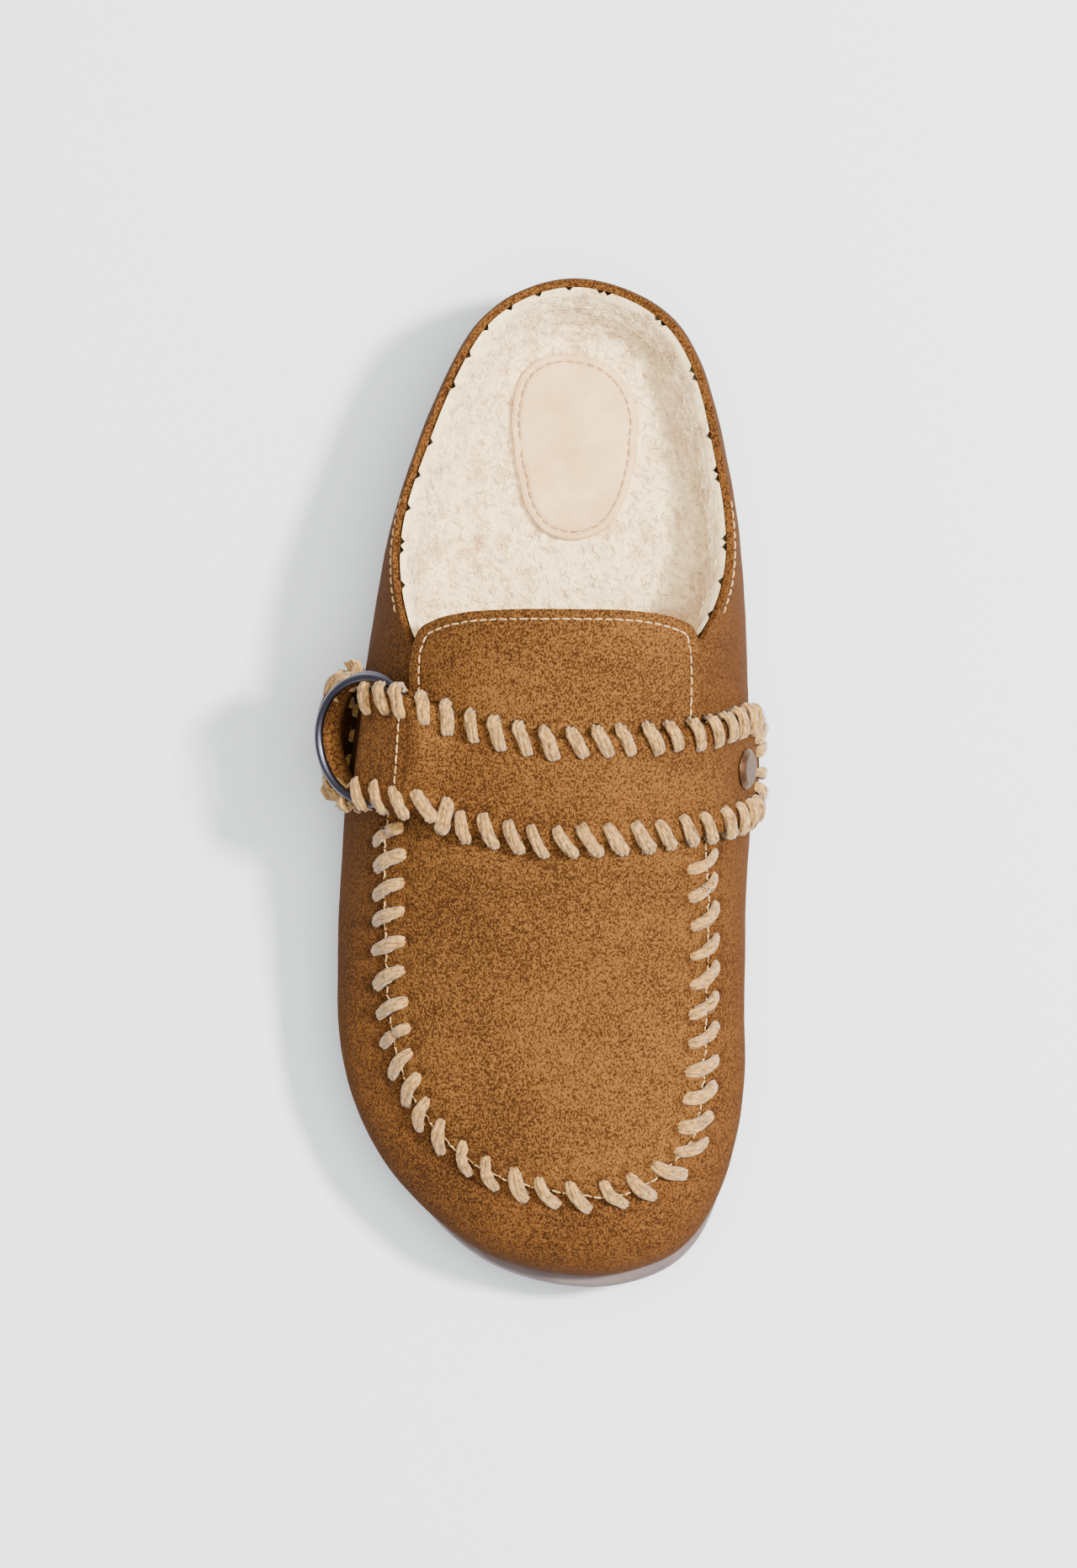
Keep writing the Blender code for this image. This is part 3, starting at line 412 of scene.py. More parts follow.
class Frame:
    """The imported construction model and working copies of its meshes."""

    def __init__(self):
        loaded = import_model()
        self.nodes = loaded["nodes"]
        self.cad_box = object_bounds()
        self.ring = Ring(self.mesh(Node.RING_INNER))

    def shape(self, node: Node) -> bmesh.types.BMesh:
        """Working copy of a node with its triangles joined to quads, a strap's fold spread in the ring."""
        shape = bmesh.new()
        shape.from_mesh(self.nodes[node.value].data)
        bmesh.ops.remove_doubles(shape, verts=shape.verts, dist=1e-6)
        bmesh.ops.join_triangles(shape, faces=shape.faces[:], angle_face_threshold=math.radians(60.0),
                                 angle_shape_threshold=math.radians(75.0))
        if node in (Node.STRAP, Node.SIDE_STRAP):
            self.ring.spread(shape, node is Node.STRAP)
        return shape

    def mesh(self, node: Node) -> bpy.types.Mesh:
        """Mesh of a node, not to be changed."""
        return self.nodes[node.value].data


def skins(shape: bmesh.types.BMesh, angle: float) -> list[list[bmesh.types.BMFace]]:
    """Groups of faces between the edges sharper than the angle, the largest first."""
    left = set(shape.faces)
    groups = []
    while left:
        front = [left.pop()]
        group = []
        while front:
            face = front.pop()
            group.append(face)
            for edge in face.edges:
                if len(edge.link_faces) != 2 or edge.calc_face_angle(0.0) > angle:
                    continue
                for other in edge.link_faces:
                    if other in left:
                        left.remove(other)
                        front.append(other)
        groups.append(group)
    return sorted(groups, key=lambda group: -sum(face.calc_area() for face in group))


def border(group: list[bmesh.types.BMFace]) -> list[list[Vector]]:
    """Closed edge loops round a group of faces, the longest first."""
    inside = set(group)
    ways = {}
    for face in group:
        for loop in face.loops:
            if sum(other in inside for other in loop.edge.link_faces) == 1:
                ways[loop.vert] = loop.link_loop_next.vert
    loops = []
    while ways:
        start = next(iter(ways))
        vert = start
        points = []
        while vert in ways:
            points.append(vert.co.copy())
            vert = ways.pop(vert)
        loops.append(points)
    return sorted(loops, key=len, reverse=True)


class Trail:
    """Line of points with even steps, read by its length."""

    def __init__(self, points: list[Vector], closed: bool, step: float = 0.0004):
        if closed:
            points = points + points[:1]
        raw = np.array([tuple(point) for point in points])
        lengths = np.concatenate([[0.0], np.cumsum(np.linalg.norm(np.diff(raw, axis=0), axis=1))])
        self.length = float(lengths[-1])
        self.closed = closed
        self.count = max(int(self.length / step), 2)
        places = np.linspace(0.0, self.length, self.count)
        self.points = np.column_stack([np.interp(places, lengths, raw[:, axis]) for axis in range(3)])
        self.smooth(6)
        self.tree = KDTree(self.count)
        for index, point in enumerate(self.points):
            self.tree.insert(point, index)
        self.tree.balance()

    def smooth(self, passes: int) -> None:
        """Soften the corners between the given points."""
        for _ in range(passes):
            middle = 0.25 * self.points[:-2] + 0.5 * self.points[1:-1] + 0.25 * self.points[2:]
            self.points[1:-1] = middle

    def at(self, distance: float) -> Vector:
        """Point at a distance along the trail."""
        place = distance / self.length
        if self.closed:
            place %= 1.0
        place = min(max(place, 0.0), 1.0) * (self.count - 1)
        low = int(place)
        high = min(low + 1, self.count - 1)
        return Vector(self.points[low] * (1.0 - place + low) + self.points[high] * (place - low))

    def way(self, distance: float) -> Vector:
        """Unit direction of the trail at a distance."""
        return (self.at(distance + 0.001) - self.at(distance - 0.001)).normalized()

    def nearest(self, point) -> tuple[float, float]:
        """How far a point is from the trail, and how far along."""
        _, index, gap = self.tree.find(point)
        return gap, index / (self.count - 1) * self.length


def piece(name: str, mesh: bpy.types.Mesh, material: bpy.types.Material, slot: str,
          *replaced: Node) -> bpy.types.Object:
    """Put a finished mesh in the scene as a piece of the shoe.

    Args:
        name: What a maker calls the piece.
        mesh: Its mesh, in the shoe's own place.
        material: Its finish.
        slot: Name of a material slot, not used.
        replaced: Nodes of the construction model that it stands for.

    Returns:
        The object.
    """
    mesh.materials.clear()
    mesh.materials.append(material)
    item = bpy.data.objects.new(name.replace(" ", "_"), mesh)
    bpy.context.scene.collection.objects.link(item)
    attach(item, "root")
    if replaced:
        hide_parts(*(node.value for node in replaced))
    log.info("%s: %d faces", name, len(mesh.polygons))
    return item


def refined(name: str, shape: bmesh.types.BMesh, levels: int, sharp: float = 40.0,
            crease: float = 0.8) -> bpy.types.Mesh:
    """Mesh of a shape after smooth subdivision, with its sharp edges kept by creases."""
    marks = shape.edges.layers.float.get("crease_edge") or shape.edges.layers.float.new("crease_edge")
    for edge in shape.edges:
        if len(edge.link_faces) == 2 and edge.calc_face_angle(0.0) > math.radians(sharp):
            edge[marks] = crease
    mesh = bpy.data.meshes.new(name)
    shape.to_mesh(mesh)
    shape.free()
    holder = bpy.data.objects.new(name + " work", mesh)
    bpy.context.scene.collection.objects.link(holder)
    smoother = holder.modifiers.new("subdivision", "SUBSURF")
    smoother.levels = levels
    smoother.render_levels = levels
    done = bpy.data.meshes.new_from_object(holder.evaluated_get(bpy.context.evaluated_depsgraph_get()))
    bpy.data.objects.remove(holder, do_unlink=True)
    done.shade_smooth()
    return done


def vertex_arrays(mesh: bpy.types.Mesh) -> tuple[np.ndarray, np.ndarray]:
    """Places and normals of a mesh's vertices."""
    places = np.empty(len(mesh.vertices) * 3)
    mesh.vertices.foreach_get("co", places)
    normals = np.empty(len(mesh.vertices) * 3)
    mesh.vertex_normals.foreach_get("vector", normals)
    return places.reshape(-1, 3), normals.reshape(-1, 3)


def set_places(mesh: bpy.types.Mesh, places: np.ndarray) -> None:
    """Move a mesh's vertices."""
    mesh.vertices.foreach_set("co", places.ravel())
    mesh.update()


def set_attribute(mesh: bpy.types.Mesh, name: str, values: np.ndarray) -> None:
    """Store one value for each vertex, for the shader to read."""
    made = mesh.attributes.new(name, "FLOAT", "POINT")
    made.data.foreach_set("value", np.clip(values, 0.0, 1.0).astype(np.float32))


def fade(value, low: float, high: float):
    """Rise from 0 at low to 1 at high, with level ends, for numbers and arrays."""
    t = np.clip((value - low) / (high - low), 0.0, 1.0)
    return t * t * (3.0 - 2.0 * t)


def soft_noise(points: np.ndarray, size: float, seed: float) -> np.ndarray:
    """Smooth noise from about -1 to 1 at each point."""
    shift = Vector((seed, seed * 1.7, -seed))
    return np.array([noise.noise(Vector(point) / size + shift) for point in points])


class Bundle:
    """Many small tubes joined in one mesh, with a fibre map along each."""

    def __init__(self):
        self.points = []
        self.faces = []
        self.fibres = []
        self.count = 0

    def tube(self, path: np.ndarray, radii: np.ndarray, sides: int, seed: float,
             flat: float = 1.0, up: Vector = Vector((0.0, 0.0, 1.0))) -> None:
        """Add one tube.

        Args:
            path: Middle line, one row for each ring.
            radii: Radius at each ring.
            sides: Corners of a ring.
            seed: Start of the fibre map, so that no two tubes look alike.
            flat: Height of the section as a share of its width.
            up: Direction in which the section is flattened.
        """
        rings = len(path)
        ahead = np.gradient(path, axis=0)
        ahead /= np.linalg.norm(ahead, axis=1)[:, None] + 1e-12
        across = np.cross(np.tile(np.array(up), (rings, 1)), ahead)
        across /= np.linalg.norm(across, axis=1)[:, None] + 1e-12
        over = np.cross(ahead, across)
        turns = np.arange(sides) / sides * math.tau
        spots = (path[:, None, :]
                 + across[:, None, :] * (np.cos(turns)[None, :, None] * radii[:, None, None])
                 + over[:, None, :] * (np.sin(turns)[None, :, None] * radii[:, None, None] * flat))
        start = self.count
        self.points.append(spots.reshape(-1, 3))
        self.count += rings * sides
        lengths = np.concatenate([[0.0], np.cumsum(np.linalg.norm(np.diff(path, axis=0), axis=1))]) / 0.002
        for ring in range(rings - 1):
            for side in range(sides):
                after = (side + 1) % sides
                a = start + ring * sides
                self.faces.append((a + side, a + after, a + sides + after, a + sides + side))
                u, v = side / sides, (side + 1) / sides
                self.fibres += [(u + seed, lengths[ring] + seed), (v + seed, lengths[ring] + seed),
                                (v + seed, lengths[ring + 1] + seed), (u + seed, lengths[ring + 1] + seed)]

    def mesh(self, name: str) -> bpy.types.Mesh:
        """Joined mesh of all the tubes."""
        made = bpy.data.meshes.new(name)
        made.from_pydata(np.vstack(self.points).tolist(), [], self.faces)
        layer = made.uv_layers.new(name="fibre")
        layer.data.foreach_set("uv", np.array(self.fibres, np.float32).ravel())
        made.shade_smooth()
        return made


@dataclass
class StitchBar:
    """One whipstitch: its middle line, the leather's normal along it, and where it dives in."""

    path: np.ndarray
    normals: np.ndarray
    holes: list[Vector]


class Ground:
    """Finished surfaces that the sewing lies on."""

    def __init__(self, *meshes: bpy.types.Mesh):
        points = []
        faces = []
        for mesh in meshes:
            start = len(points)
            points += [vert.co.copy() for vert in mesh.vertices]
            faces += [[start + index for index in face.vertices] for face in mesh.polygons]
        self.tree = BVHTree.FromPolygons(points, faces)


    def below(self, point: Vector) -> tuple[Vector, Vector]:
        """Topmost surface point under a plan point, and its upward normal."""
        hit, normal, _, _ = self.tree.ray_cast(Vector((point[0], point[1], 0.15)), Vector((0.0, 0.0, -1.0)))
        if hit is None:
            hit, normal, _, _ = self.tree.find_nearest(Vector(point))
        return hit, normal if normal.z > 0.0 else -normal

    def nearest(self, point: Vector) -> tuple[Vector, Vector]:
        """Nearest surface point and its normal."""
        hit, normal, _, _ = self.tree.find_nearest(Vector(point))
        return hit, normal


class Skin:
    """One face of a panel, with its outward normals and the way in from its edge."""

    def __init__(self, faces: list[bmesh.types.BMFace]):
        points = [vert.co.copy() for face in faces for vert in face.verts]
        ends = np.cumsum([len(face.verts) for face in faces])
        corners = [list(range(end - len(face.verts), end)) for face, end in zip(faces, ends)]
        self.tree = BVHTree.FromPolygons(points, corners)
        self.middles = [face.calc_center_median() for face in faces]
        self.edge = border(faces)[0]

    def at(self, spot: Vector, way: Vector) -> tuple[Vector, Vector]:
        """Outward normal at a spot of the edge, and the unit way from there into the panel."""
        _, _, index, _ = self.tree.find_nearest(spot)
        inside = self.middles[index] - spot
        inside = (inside - way * inside.dot(way)).normalized()
        _, normal, _, _ = self.tree.find_nearest(spot + inside * 0.0025)
        inward = normal.cross(way).normalized()
        return normal, inward if inward.dot(inside) > 0.0 else -inward


@dataclass
class Whipstitching:
    """Thick yarn sewn over an edge, each stitch a bar of several strands."""

    width: float = 0.0033
    strands: int = 5
    sides: int = 6
    lift: float = 0.0010
    sink: float = 0.0018
    bow: float = 0.09

    def flat_bar(self, middle: Vector, angle: float, length: float, ground: Ground) -> StitchBar:
        """Bar laid flat over a seam.

        Args:
            middle: Plan place of its middle.
            angle: Way from its inner to its outer end, in degrees.
            length: Distance between its holes.
            ground: Leather under it.

        Returns:
            The bar.
        """
        way = Vector((math.cos(math.radians(angle)), math.sin(math.radians(angle)), 0.0)) * length
        bow = Vector((way.y, -way.x, 0.0)) * self.bow
        shares = np.linspace(0.0, 1.0, 12)
        found = [ground.below(middle + way * (t - 0.5) + bow * (math.sin(math.pi * t) - 0.6)) for t in shares]
        heights = np.array([hit.z for hit, _ in found])
        bridged = np.maximum(heights, self.taut(shares, heights))
        path = []
        normals = []
        for t, (hit, normal), height in zip(shares, found, bridged):
            arch = math.sin(math.pi * t) ** 0.55
            hit = Vector((hit.x, hit.y, height))
            path.append(hit + normal * ((self.lift + self.sink) * arch - self.sink))
            normals.append(normal)
        holes = [ground.below(middle + way * share)[0] for share in (-0.47, 0.47)]
        return StitchBar(np.array([tuple(p) for p in path]), np.array([tuple(n) for n in normals]), holes)

    def taut(self, shares: np.ndarray, heights: np.ndarray) -> np.ndarray:
        """Heights of a thread pulled straight over the high places between a bar's ends."""
        best = np.full(len(shares), -1.0)
        for low in range(len(shares)):
            for high in range(low + 1, len(shares)):
                span = shares[low:high + 1]
                line = np.interp(span, (shares[low], shares[high]), (heights[low], heights[high]))
                best[low:high + 1] = np.maximum(best[low:high + 1], line)
        return best

    def edge_bar(self, edge: Vector, inward: Vector, normal: Vector, slant: Vector, reach: float) -> StitchBar:
        """Bar that comes out of a hole beside an edge and wraps round the edge.

        Args:
            edge: Place on the edge.
            inward: Unit way from the edge into the leather.
            normal: The leather's normal there.
            slant: How far the bar runs along the edge while it crosses the leather.
            reach: Distance from the edge to the hole.

        Returns:
            The bar.
        """
        path = []
        normals = []
        for share, high in WRAP_SECTION:
            inner = share * reach if share > 0.0 else share * 0.0016
            path.append(edge + inward * inner + normal * high * MILLIMETRE + slant * (max(share, -0.3) - 0.3))
            out = max(0.0, 0.25 - share)
            normals.append((normal - inward * out * 1.4).normalized())
        return StitchBar(np.array([tuple(p) for p in path]), np.array([tuple(n) for n in normals]),
                         [edge + inward * reach + slant * 0.7])

    def add_bar(self, bundle: "Bundle", bar: StitchBar, seed: int) -> None:
        """Add the strands of one bar along its middle line."""
        chance = random.Random(seed)
        path, normals = bar.path, bar.normals
        rings = len(path)
        t = np.linspace(0.0, 1.0, rings)
        ahead = np.gradient(path, axis=0)
        ahead /= np.linalg.norm(ahead, axis=1)[:, None]
        across = np.cross(normals, ahead)
        across /= np.linalg.norm(across, axis=1)[:, None] + 1e-12
        width = self.width * chance.uniform(0.88, 1.10)
        spread = 0.5 * width * (0.60 + 0.40 * np.sin(np.pi * t) ** 0.7)
        twist = chance.uniform(0.30, 0.80) * math.pi
        start = chance.uniform(0.0, math.tau)
        for strand in range(self.strands):
            turn = start + strand / self.strands * math.tau + twist * t
            wander = chance.uniform(-0.15, 0.15)
            reach = 0.62 + wander * np.sin(math.tau * (t + chance.random()))
            side = np.cos(turn) * spread * reach
            high = np.sin(turn) * spread * reach * 0.60
            line = path + across * side[:, None] + normals * high[:, None]
            radii = np.full(rings, 0.5 * width * 0.46) * (0.70 + 0.30 * np.sin(np.pi * t) ** 0.5)
            radii *= 1.0 + 0.12 * np.sin(6.0 * t + chance.uniform(0.0, 6.0))
            radii[0] = radii[-1] = 0.00005
            bundle.tube(line, radii, self.sides, chance.uniform(0.0, 40.0), 0.9, Vector(normals[rings // 2]))
        self.add_hairs(bundle, path, across, normals, spread, chance)

    def add_hairs(self, bundle: "Bundle", path: np.ndarray, across: np.ndarray, normals: np.ndarray,
                  spread: np.ndarray, chance: random.Random) -> None:
        """Add a few loose fibres that stand off the bar."""
        for _ in range(10):
            k = chance.randrange(2, len(path) - 4)
            turn = chance.uniform(0.1, 3.0)
            out = across[k] * math.cos(turn) + normals[k] * math.sin(turn)
            start = path[k] + out * spread[k] * 0.85
            drift = path[k + 3] - path[k]
            bend = chance.uniform(0.3, 1.0)
            line = np.array([start + drift * t * bend + out * (0.0011 * t * (1.3 - t)) for t in (0.0, 0.35, 0.7, 1.0)])
            bundle.tube(line, np.array([0.00009, 0.00008, 0.00006, 0.00003]), 3, chance.uniform(0.0, 40.0))


@dataclass
class MachineStitching:
    """Fine lockstitch along a line: short capsules of thread, each end sunk into the leather."""

    pitch: float = 0.0027
    length: float = 0.0022
    thread: float = 0.00046
    sink: float = 0.00032

    def add_line(self, bundle: "Bundle", trail: "Trail", ground: Ground, seed: int) -> None:
        """Sew the whole of a trail."""
        chance = random.Random(seed)
        count = int(trail.length / self.pitch)
        for k in range(count):
            middle = (k + 0.5) * self.pitch
            slant = chance.uniform(-0.00010, 0.00010)
            length = self.length * chance.uniform(0.85, 1.08)
            path = []
            for t in (-0.5, -0.4, -0.15, 0.15, 0.4, 0.5):
                hit, normal = ground.nearest(trail.at(middle + t * length))
                across = trail.way(middle).cross(normal)
                lift = 0.5 * self.thread * 0.8 - self.sink * (2.0 * abs(t)) ** 4
                path.append(tuple(hit + normal * lift + across * slant * 2.0 * t))
            radii = 0.5 * self.thread * np.array([0.55, 0.9, 1.0, 1.0, 0.9, 0.55])
            bundle.tube(np.array(path), radii, 6, chance.uniform(0.0, 40.0))


# Machine stitching across the strap's folded end, in mm
CROSS_STITCHING = [(-34.5, 20.5), (-33.8, 14.0), (-34.2, 8.5), (-34.7, 2.9), (-35.5, -2.5)]

# Section of a whipstitch round an edge: share of the way from edge to hole, height over the leather in mm
WRAP_SECTION = [
    (1.00, -1.6), (0.98, -0.2), (0.90, 0.6), (0.74, 1.0), (0.54, 1.15), (0.34, 1.15), (0.14, 1.0),
    (-0.35, 0.7), (-0.85, 0.0), (-1.0, -1.0), (-0.7, -2.0), (0.0, -2.7),
]

APRON_SUEDE = SuedeFinish("apron suede", paint(113, 74, 34), paint(53, 29, 9))
UPPER_SUEDE = SuedeFinish("upper suede", paint(105, 66, 29), paint(48, 26, 8))
STRAP_SUEDE = SuedeFinish("strap suede", paint(113, 73, 33), paint(53, 29, 9))
STRAW_YARN = YarnFinish("straw yarn", paint(188, 143, 76), paint(96, 64, 26))
GOLD_THREAD = YarnFinish("gold thread", paint(218, 176, 108), paint(150, 106, 52), fibre=4.0)
TAN_THREAD = YarnFinish("tan thread", paint(196, 150, 92), paint(120, 84, 44), fibre=4.0)
GUNMETAL = MetalFinish("gunmetal", paint(74, 72, 82), 0.26)
BRONZE = MetalFinish("dark bronze", paint(86, 60, 42), 0.34)


class SewingPlan:
    """Where every stitch of the shoe goes, and how the leather gives way round it."""

    fold_length = 0.0090

    def __init__(self, frame: Frame):
        self.frame = frame
        self.whip = Whipstitching()
        self.machine = MachineStitching()
        self.upper_ground = Ground(frame.mesh(Node.UPPER))
        self.cad_ground = Ground(frame.mesh(Node.APRON), frame.mesh(Node.UPPER))
        self.apron_edge, self.apron_skin = self.find_edge(Node.APRON)
        self.strap_edge, self.strap_skin = self.find_edge(Node.STRAP)
        self.side_edge, self.side_skin = self.find_edge(Node.SIDE_STRAP)
        self.collar = self.find_collar()
        self.strap_bars = self.plan_edge_bars(self.strap_edge, self.strap_skin, 0.0066, 0.0058, 1)
        self.side_bars = self.plan_edge_bars(self.side_edge, self.side_skin, 0.0066, 0.0056, 2)
        self.tab_line = self.plan_tab_line()
        self.toplines = [self.plan_topline(-1.0), self.plan_topline(1.0)]
        self.cross_line = Trail([self.on_top(self.strap_skin, x * MILLIMETRE, y * MILLIMETRE)
                                 for x, y in CROSS_STITCHING], False)

    def find_edge(self, node: Node) -> tuple[Trail, Skin]:
        """Edge of a panel's outer face, and that face."""
        shape = self.frame.shape(node)
        groups = skins(shape, math.radians(50.0 if node is Node.APRON else 45.0))[:2]
        skin = Skin(max(groups, key=lambda group: max(vert.co.z for face in group for vert in face.verts)))
        shape.free()
        loop = skin.edge
        start = max(range(len(loop)), key=lambda k: loop[k].y if node is Node.APRON else loop[k].x)
        trail = Trail(loop[start:] + loop[:start], True)
        if node is not Node.APRON:
            trail.smooth(60)
        return trail, skin

    def on_top(self, skin: Skin, x: float, y: float) -> Vector:
        """Point of a panel's outer face over a plan point."""
        hit, _, _, _ = skin.tree.ray_cast(Vector((x, y, 0.15)), Vector((0.0, 0.0, -1.0)))
        return hit if hit is not None else skin.tree.find_nearest(Vector((x, y, 0.05)))[0]

    def find_collar(self) -> Trail:
        """Outer edge of the collar."""
        shape = self.frame.shape(Node.UPPER)
        loops = border(skins(shape, math.radians(50.0))[0])
        shape.free()
        loop = max(loops[:2], key=lambda points: sum(point.z for point in points) / len(points))
        start = min(range(len(loop)), key=lambda k: loop[k].y)
        trail = Trail(loop[start:] + loop[:start], True)
        trail.smooth(80)
        return trail

    def plan_edge_bars(self, edge: Trail, skin: Skin, pitch: float, reach: float, seed: int) -> list[StitchBar]:
        """Whipstitches round a strap's whole edge."""
        chance = random.Random(seed)
        bars = []
        count = round(edge.length / pitch)
        for k in range(count):
            distance = (k + chance.uniform(-0.06, 0.06)) * edge.length / count
            spot = edge.at(distance)
            if skin is self.strap_skin and self.frame.ring.hides(spot):
                continue
            way = edge.way(distance)
            flat = spot.x > self.frame.ring.middle.x + self.fold_length
            normal, inward = self.settled(edge, skin, distance, 0.0055 if flat else 0.0)
            lean = 0.0034 if inward.y > 0.0 else 0.0026
            slant = way * (way.x * -inward.y * lean)
            bars.append(self.whip.edge_bar(spot, inward, normal, slant, reach * chance.uniform(0.92, 1.06)))
        return bars

    def settled(self, edge: Trail, skin: Skin, distance: float, reach: float) -> tuple[Vector, Vector]:
        """Normal and way in at a place of an edge, evened out over a reach to both sides."""
        normal = Vector((0.0, 0.0, 0.0))
        inward = Vector((0.0, 0.0, 0.0))
        for share in (-1.0, -0.5, 0.0, 0.5, 1.0):
            place = distance + share * reach
            found = skin.at(edge.at(place), edge.way(place))
            normal += found[0]
            inward += found[1]
        normal.normalize()
        return normal, (inward - normal * inward.dot(normal)).normalized()

    def plan_tab_line(self) -> Trail:
        """Machine stitching inside the tab's edge, from strap to strap."""
        edge = self.apron_edge
        points = []
        for distance in np.arange(-0.5 * edge.length, 0.5 * edge.length, 0.0010):
            spot = edge.at(distance)
            if spot.y < 0.006:
                continue
            way = edge.way(distance)
            spot = spot + Vector((-way.y, way.x, 0.0)).normalized() * 0.0025
            points.append(self.on_top(self.apron_skin, spot.x, spot.y))
        return Trail(points, False)

    def plan_topline(self, side: float) -> Trail:
        """Machine stitching beside the collar, from the tab back along one side."""
        edge = self.collar
        points = []
        for distance in np.arange(-0.5 * edge.length, 0.5 * edge.length, 0.0010):
            spot = edge.at(distance)
            if (spot.x - 0.006) * side < 0.0 or not 0.043 < spot.y < 0.074:
                continue
            way = edge.way(distance)
            outward = Vector((way.y, -way.x, 0.0)).normalized()
            if outward.x * side < 0.0:
                outward = -outward
            hit, _ = self.upper_ground.nearest(spot + outward * 0.0020 - Vector((0.0, 0.0, 0.0014)))
            points.append(hit)
        points.sort(key=lambda point: point.y)
        return Trail(points, False)

    def finish(self, ground: Ground) -> None:
        """Plan the whipstitches that lie on the finished panels."""
        self.apron_bars = [self.whip.flat_bar(Vector((x, y, 0.0)) * MILLIMETRE, angle, 0.0104, ground)
                           for x, y, angle in APRON_STITCHES]

    def dent(self, places: np.ndarray) -> tuple[np.ndarray, np.ndarray]:
        """How far the sewing pulls the leather in at each place, and how much painted shade it gets there."""
        holes = []
        for x, y, angle in APRON_STITCHES:
            way = Vector((math.cos(math.radians(angle)), math.sin(math.radians(angle)), 0.0)) * 0.0052
            for sign in (-1.0, 1.0):
                holes.append(self.cad_ground.below(Vector((x, y, 0.0)) * MILLIMETRE + way * sign)[0])
        for bar in self.strap_bars + self.side_bars:
            holes += bar.holes
        hole_tree = KDTree(len(holes))
        for index, hole in enumerate(holes):
            hole_tree.insert(hole, index)
        hole_tree.balance()
        hole_gap = np.array([hole_tree.find(point)[2] for point in places])
        line_gap = np.full(len(places), 1.0)
        for line in [self.tab_line, self.cross_line] + self.toplines:
            line_gap = np.minimum(line_gap, np.array([line.nearest(point)[0] for point in places]))
        pull = 0.00060 * np.exp(-(hole_gap / 0.0017) ** 2) + 0.00024 * np.exp(-(line_gap / 0.0008) ** 2)
        # Painted shade in the dents at the stitch holes and along the machine stitch lines
        dark = 0.75 * np.exp(-(hole_gap / 0.0014) ** 2) + 0.28 * np.exp(-(line_gap / 0.0007) ** 2)
        return pull, dark

    def sew(self, leather: Ground) -> None:
        """Add all the yarn and thread."""
        yarn = STRAW_YARN.material()
        seed = 0
        for name, bars, slot in (("apron whipstitches", self.apron_bars, "apron_suede"),
                                 ("strap whipstitches", self.strap_bars, "strap_suede"),
                                 ("side strap whipstitches", self.side_bars, "strap_suede")):
            bundle = Bundle()
            for bar in bars:
                seed += 1
                self.whip.add_bar(bundle, bar, seed)
            piece(name, bundle.mesh(name), yarn, slot)
        thread = GOLD_THREAD.material()
        bundle = Bundle()
        seam = Trail([point for point in self.seam_points()], False)
        for index, line in enumerate([self.tab_line, self.cross_line, seam] + self.toplines):
            self.machine.add_line(bundle, line, leather, 90 + index)
        piece("thread stitches", bundle.mesh("thread stitches"), thread, "apron_suede")

    def seam_points(self) -> list[Vector]:
        """Points along the apron's sewn edge below the strap."""
        edge = self.apron_edge
        points = []
        for distance in np.arange(0.0, edge.length, 0.0010):
            spot = edge.at(distance)
            if spot.y < -0.006:
                way = edge.way(distance)
                points.append(spot + Vector((way.y, -way.x, 0.0)).normalized() * 0.0005)
        return points


class Apron:
    """Panel over the forefoot and instep, whipstitched to the upper, its throat tab edge-stitched."""

    def __init__(self, frame: Frame, plan: SewingPlan):
        self.frame = frame
        self.plan = plan

    def build(self) -> bpy.types.Mesh:
        """Build the panel."""
        mesh = refined("apron", self.frame.shape(Node.APRON), 3, 50.0, 0.7)
        places, normals = vertex_arrays(mesh)
        distance = np.array([self.plan.apron_edge.nearest(point)[0] for point in places])
        middle = middle_gaps(places)
        sewn = fade(-places[:, 1], 0.000, 0.012)
        edge = 1.0 - fade(distance, 0.0, 0.0045)
        puff = fade(middle, 0.0012, 0.0034)
        offset = (-0.0011 * edge + 0.00065 * edge * puff) * sewn
        pull, dark = self.plan.dent(places)
        offset -= pull
        offset += 0.00045 * soft_noise(places, 0.024, 3.0) + 0.00014 * soft_noise(places, 0.007, 9.0)
        set_places(mesh, places + normals * offset[:, None])
        rim = 1.0 - fade(distance, 0.0, 0.0013)
        # Painted shade at the stitch holes and lines and along the sewn edge; the tab's edge a little darker too
        set_attribute(mesh, "shade", dark + 0.5 * rim * sewn + 0.18 * rim * (1.0 - sewn))
        # Painted shade: how far each face turns away from up, for the suede's darker sides
        set_attribute(mesh, "turn", 1.0 - np.clip(normals[:, 2], 0.0, 1.0))
        piece("apron", mesh, APRON_SUEDE.material(), "apron_suede", Node.APRON)
        return mesh


def middle_gaps(places: np.ndarray) -> np.ndarray:
    """Distance in plan from each place to the middle of the nearest apron whipstitch."""
    tree = KDTree(len(APRON_STITCHES))
    for index, (x, y, _) in enumerate(APRON_STITCHES):
        tree.insert((x * MILLIMETRE, y * MILLIMETRE, 0.0), index)
    tree.balance()
    return np.array([tree.find((point[0], point[1], 0.0))[2] for point in places])


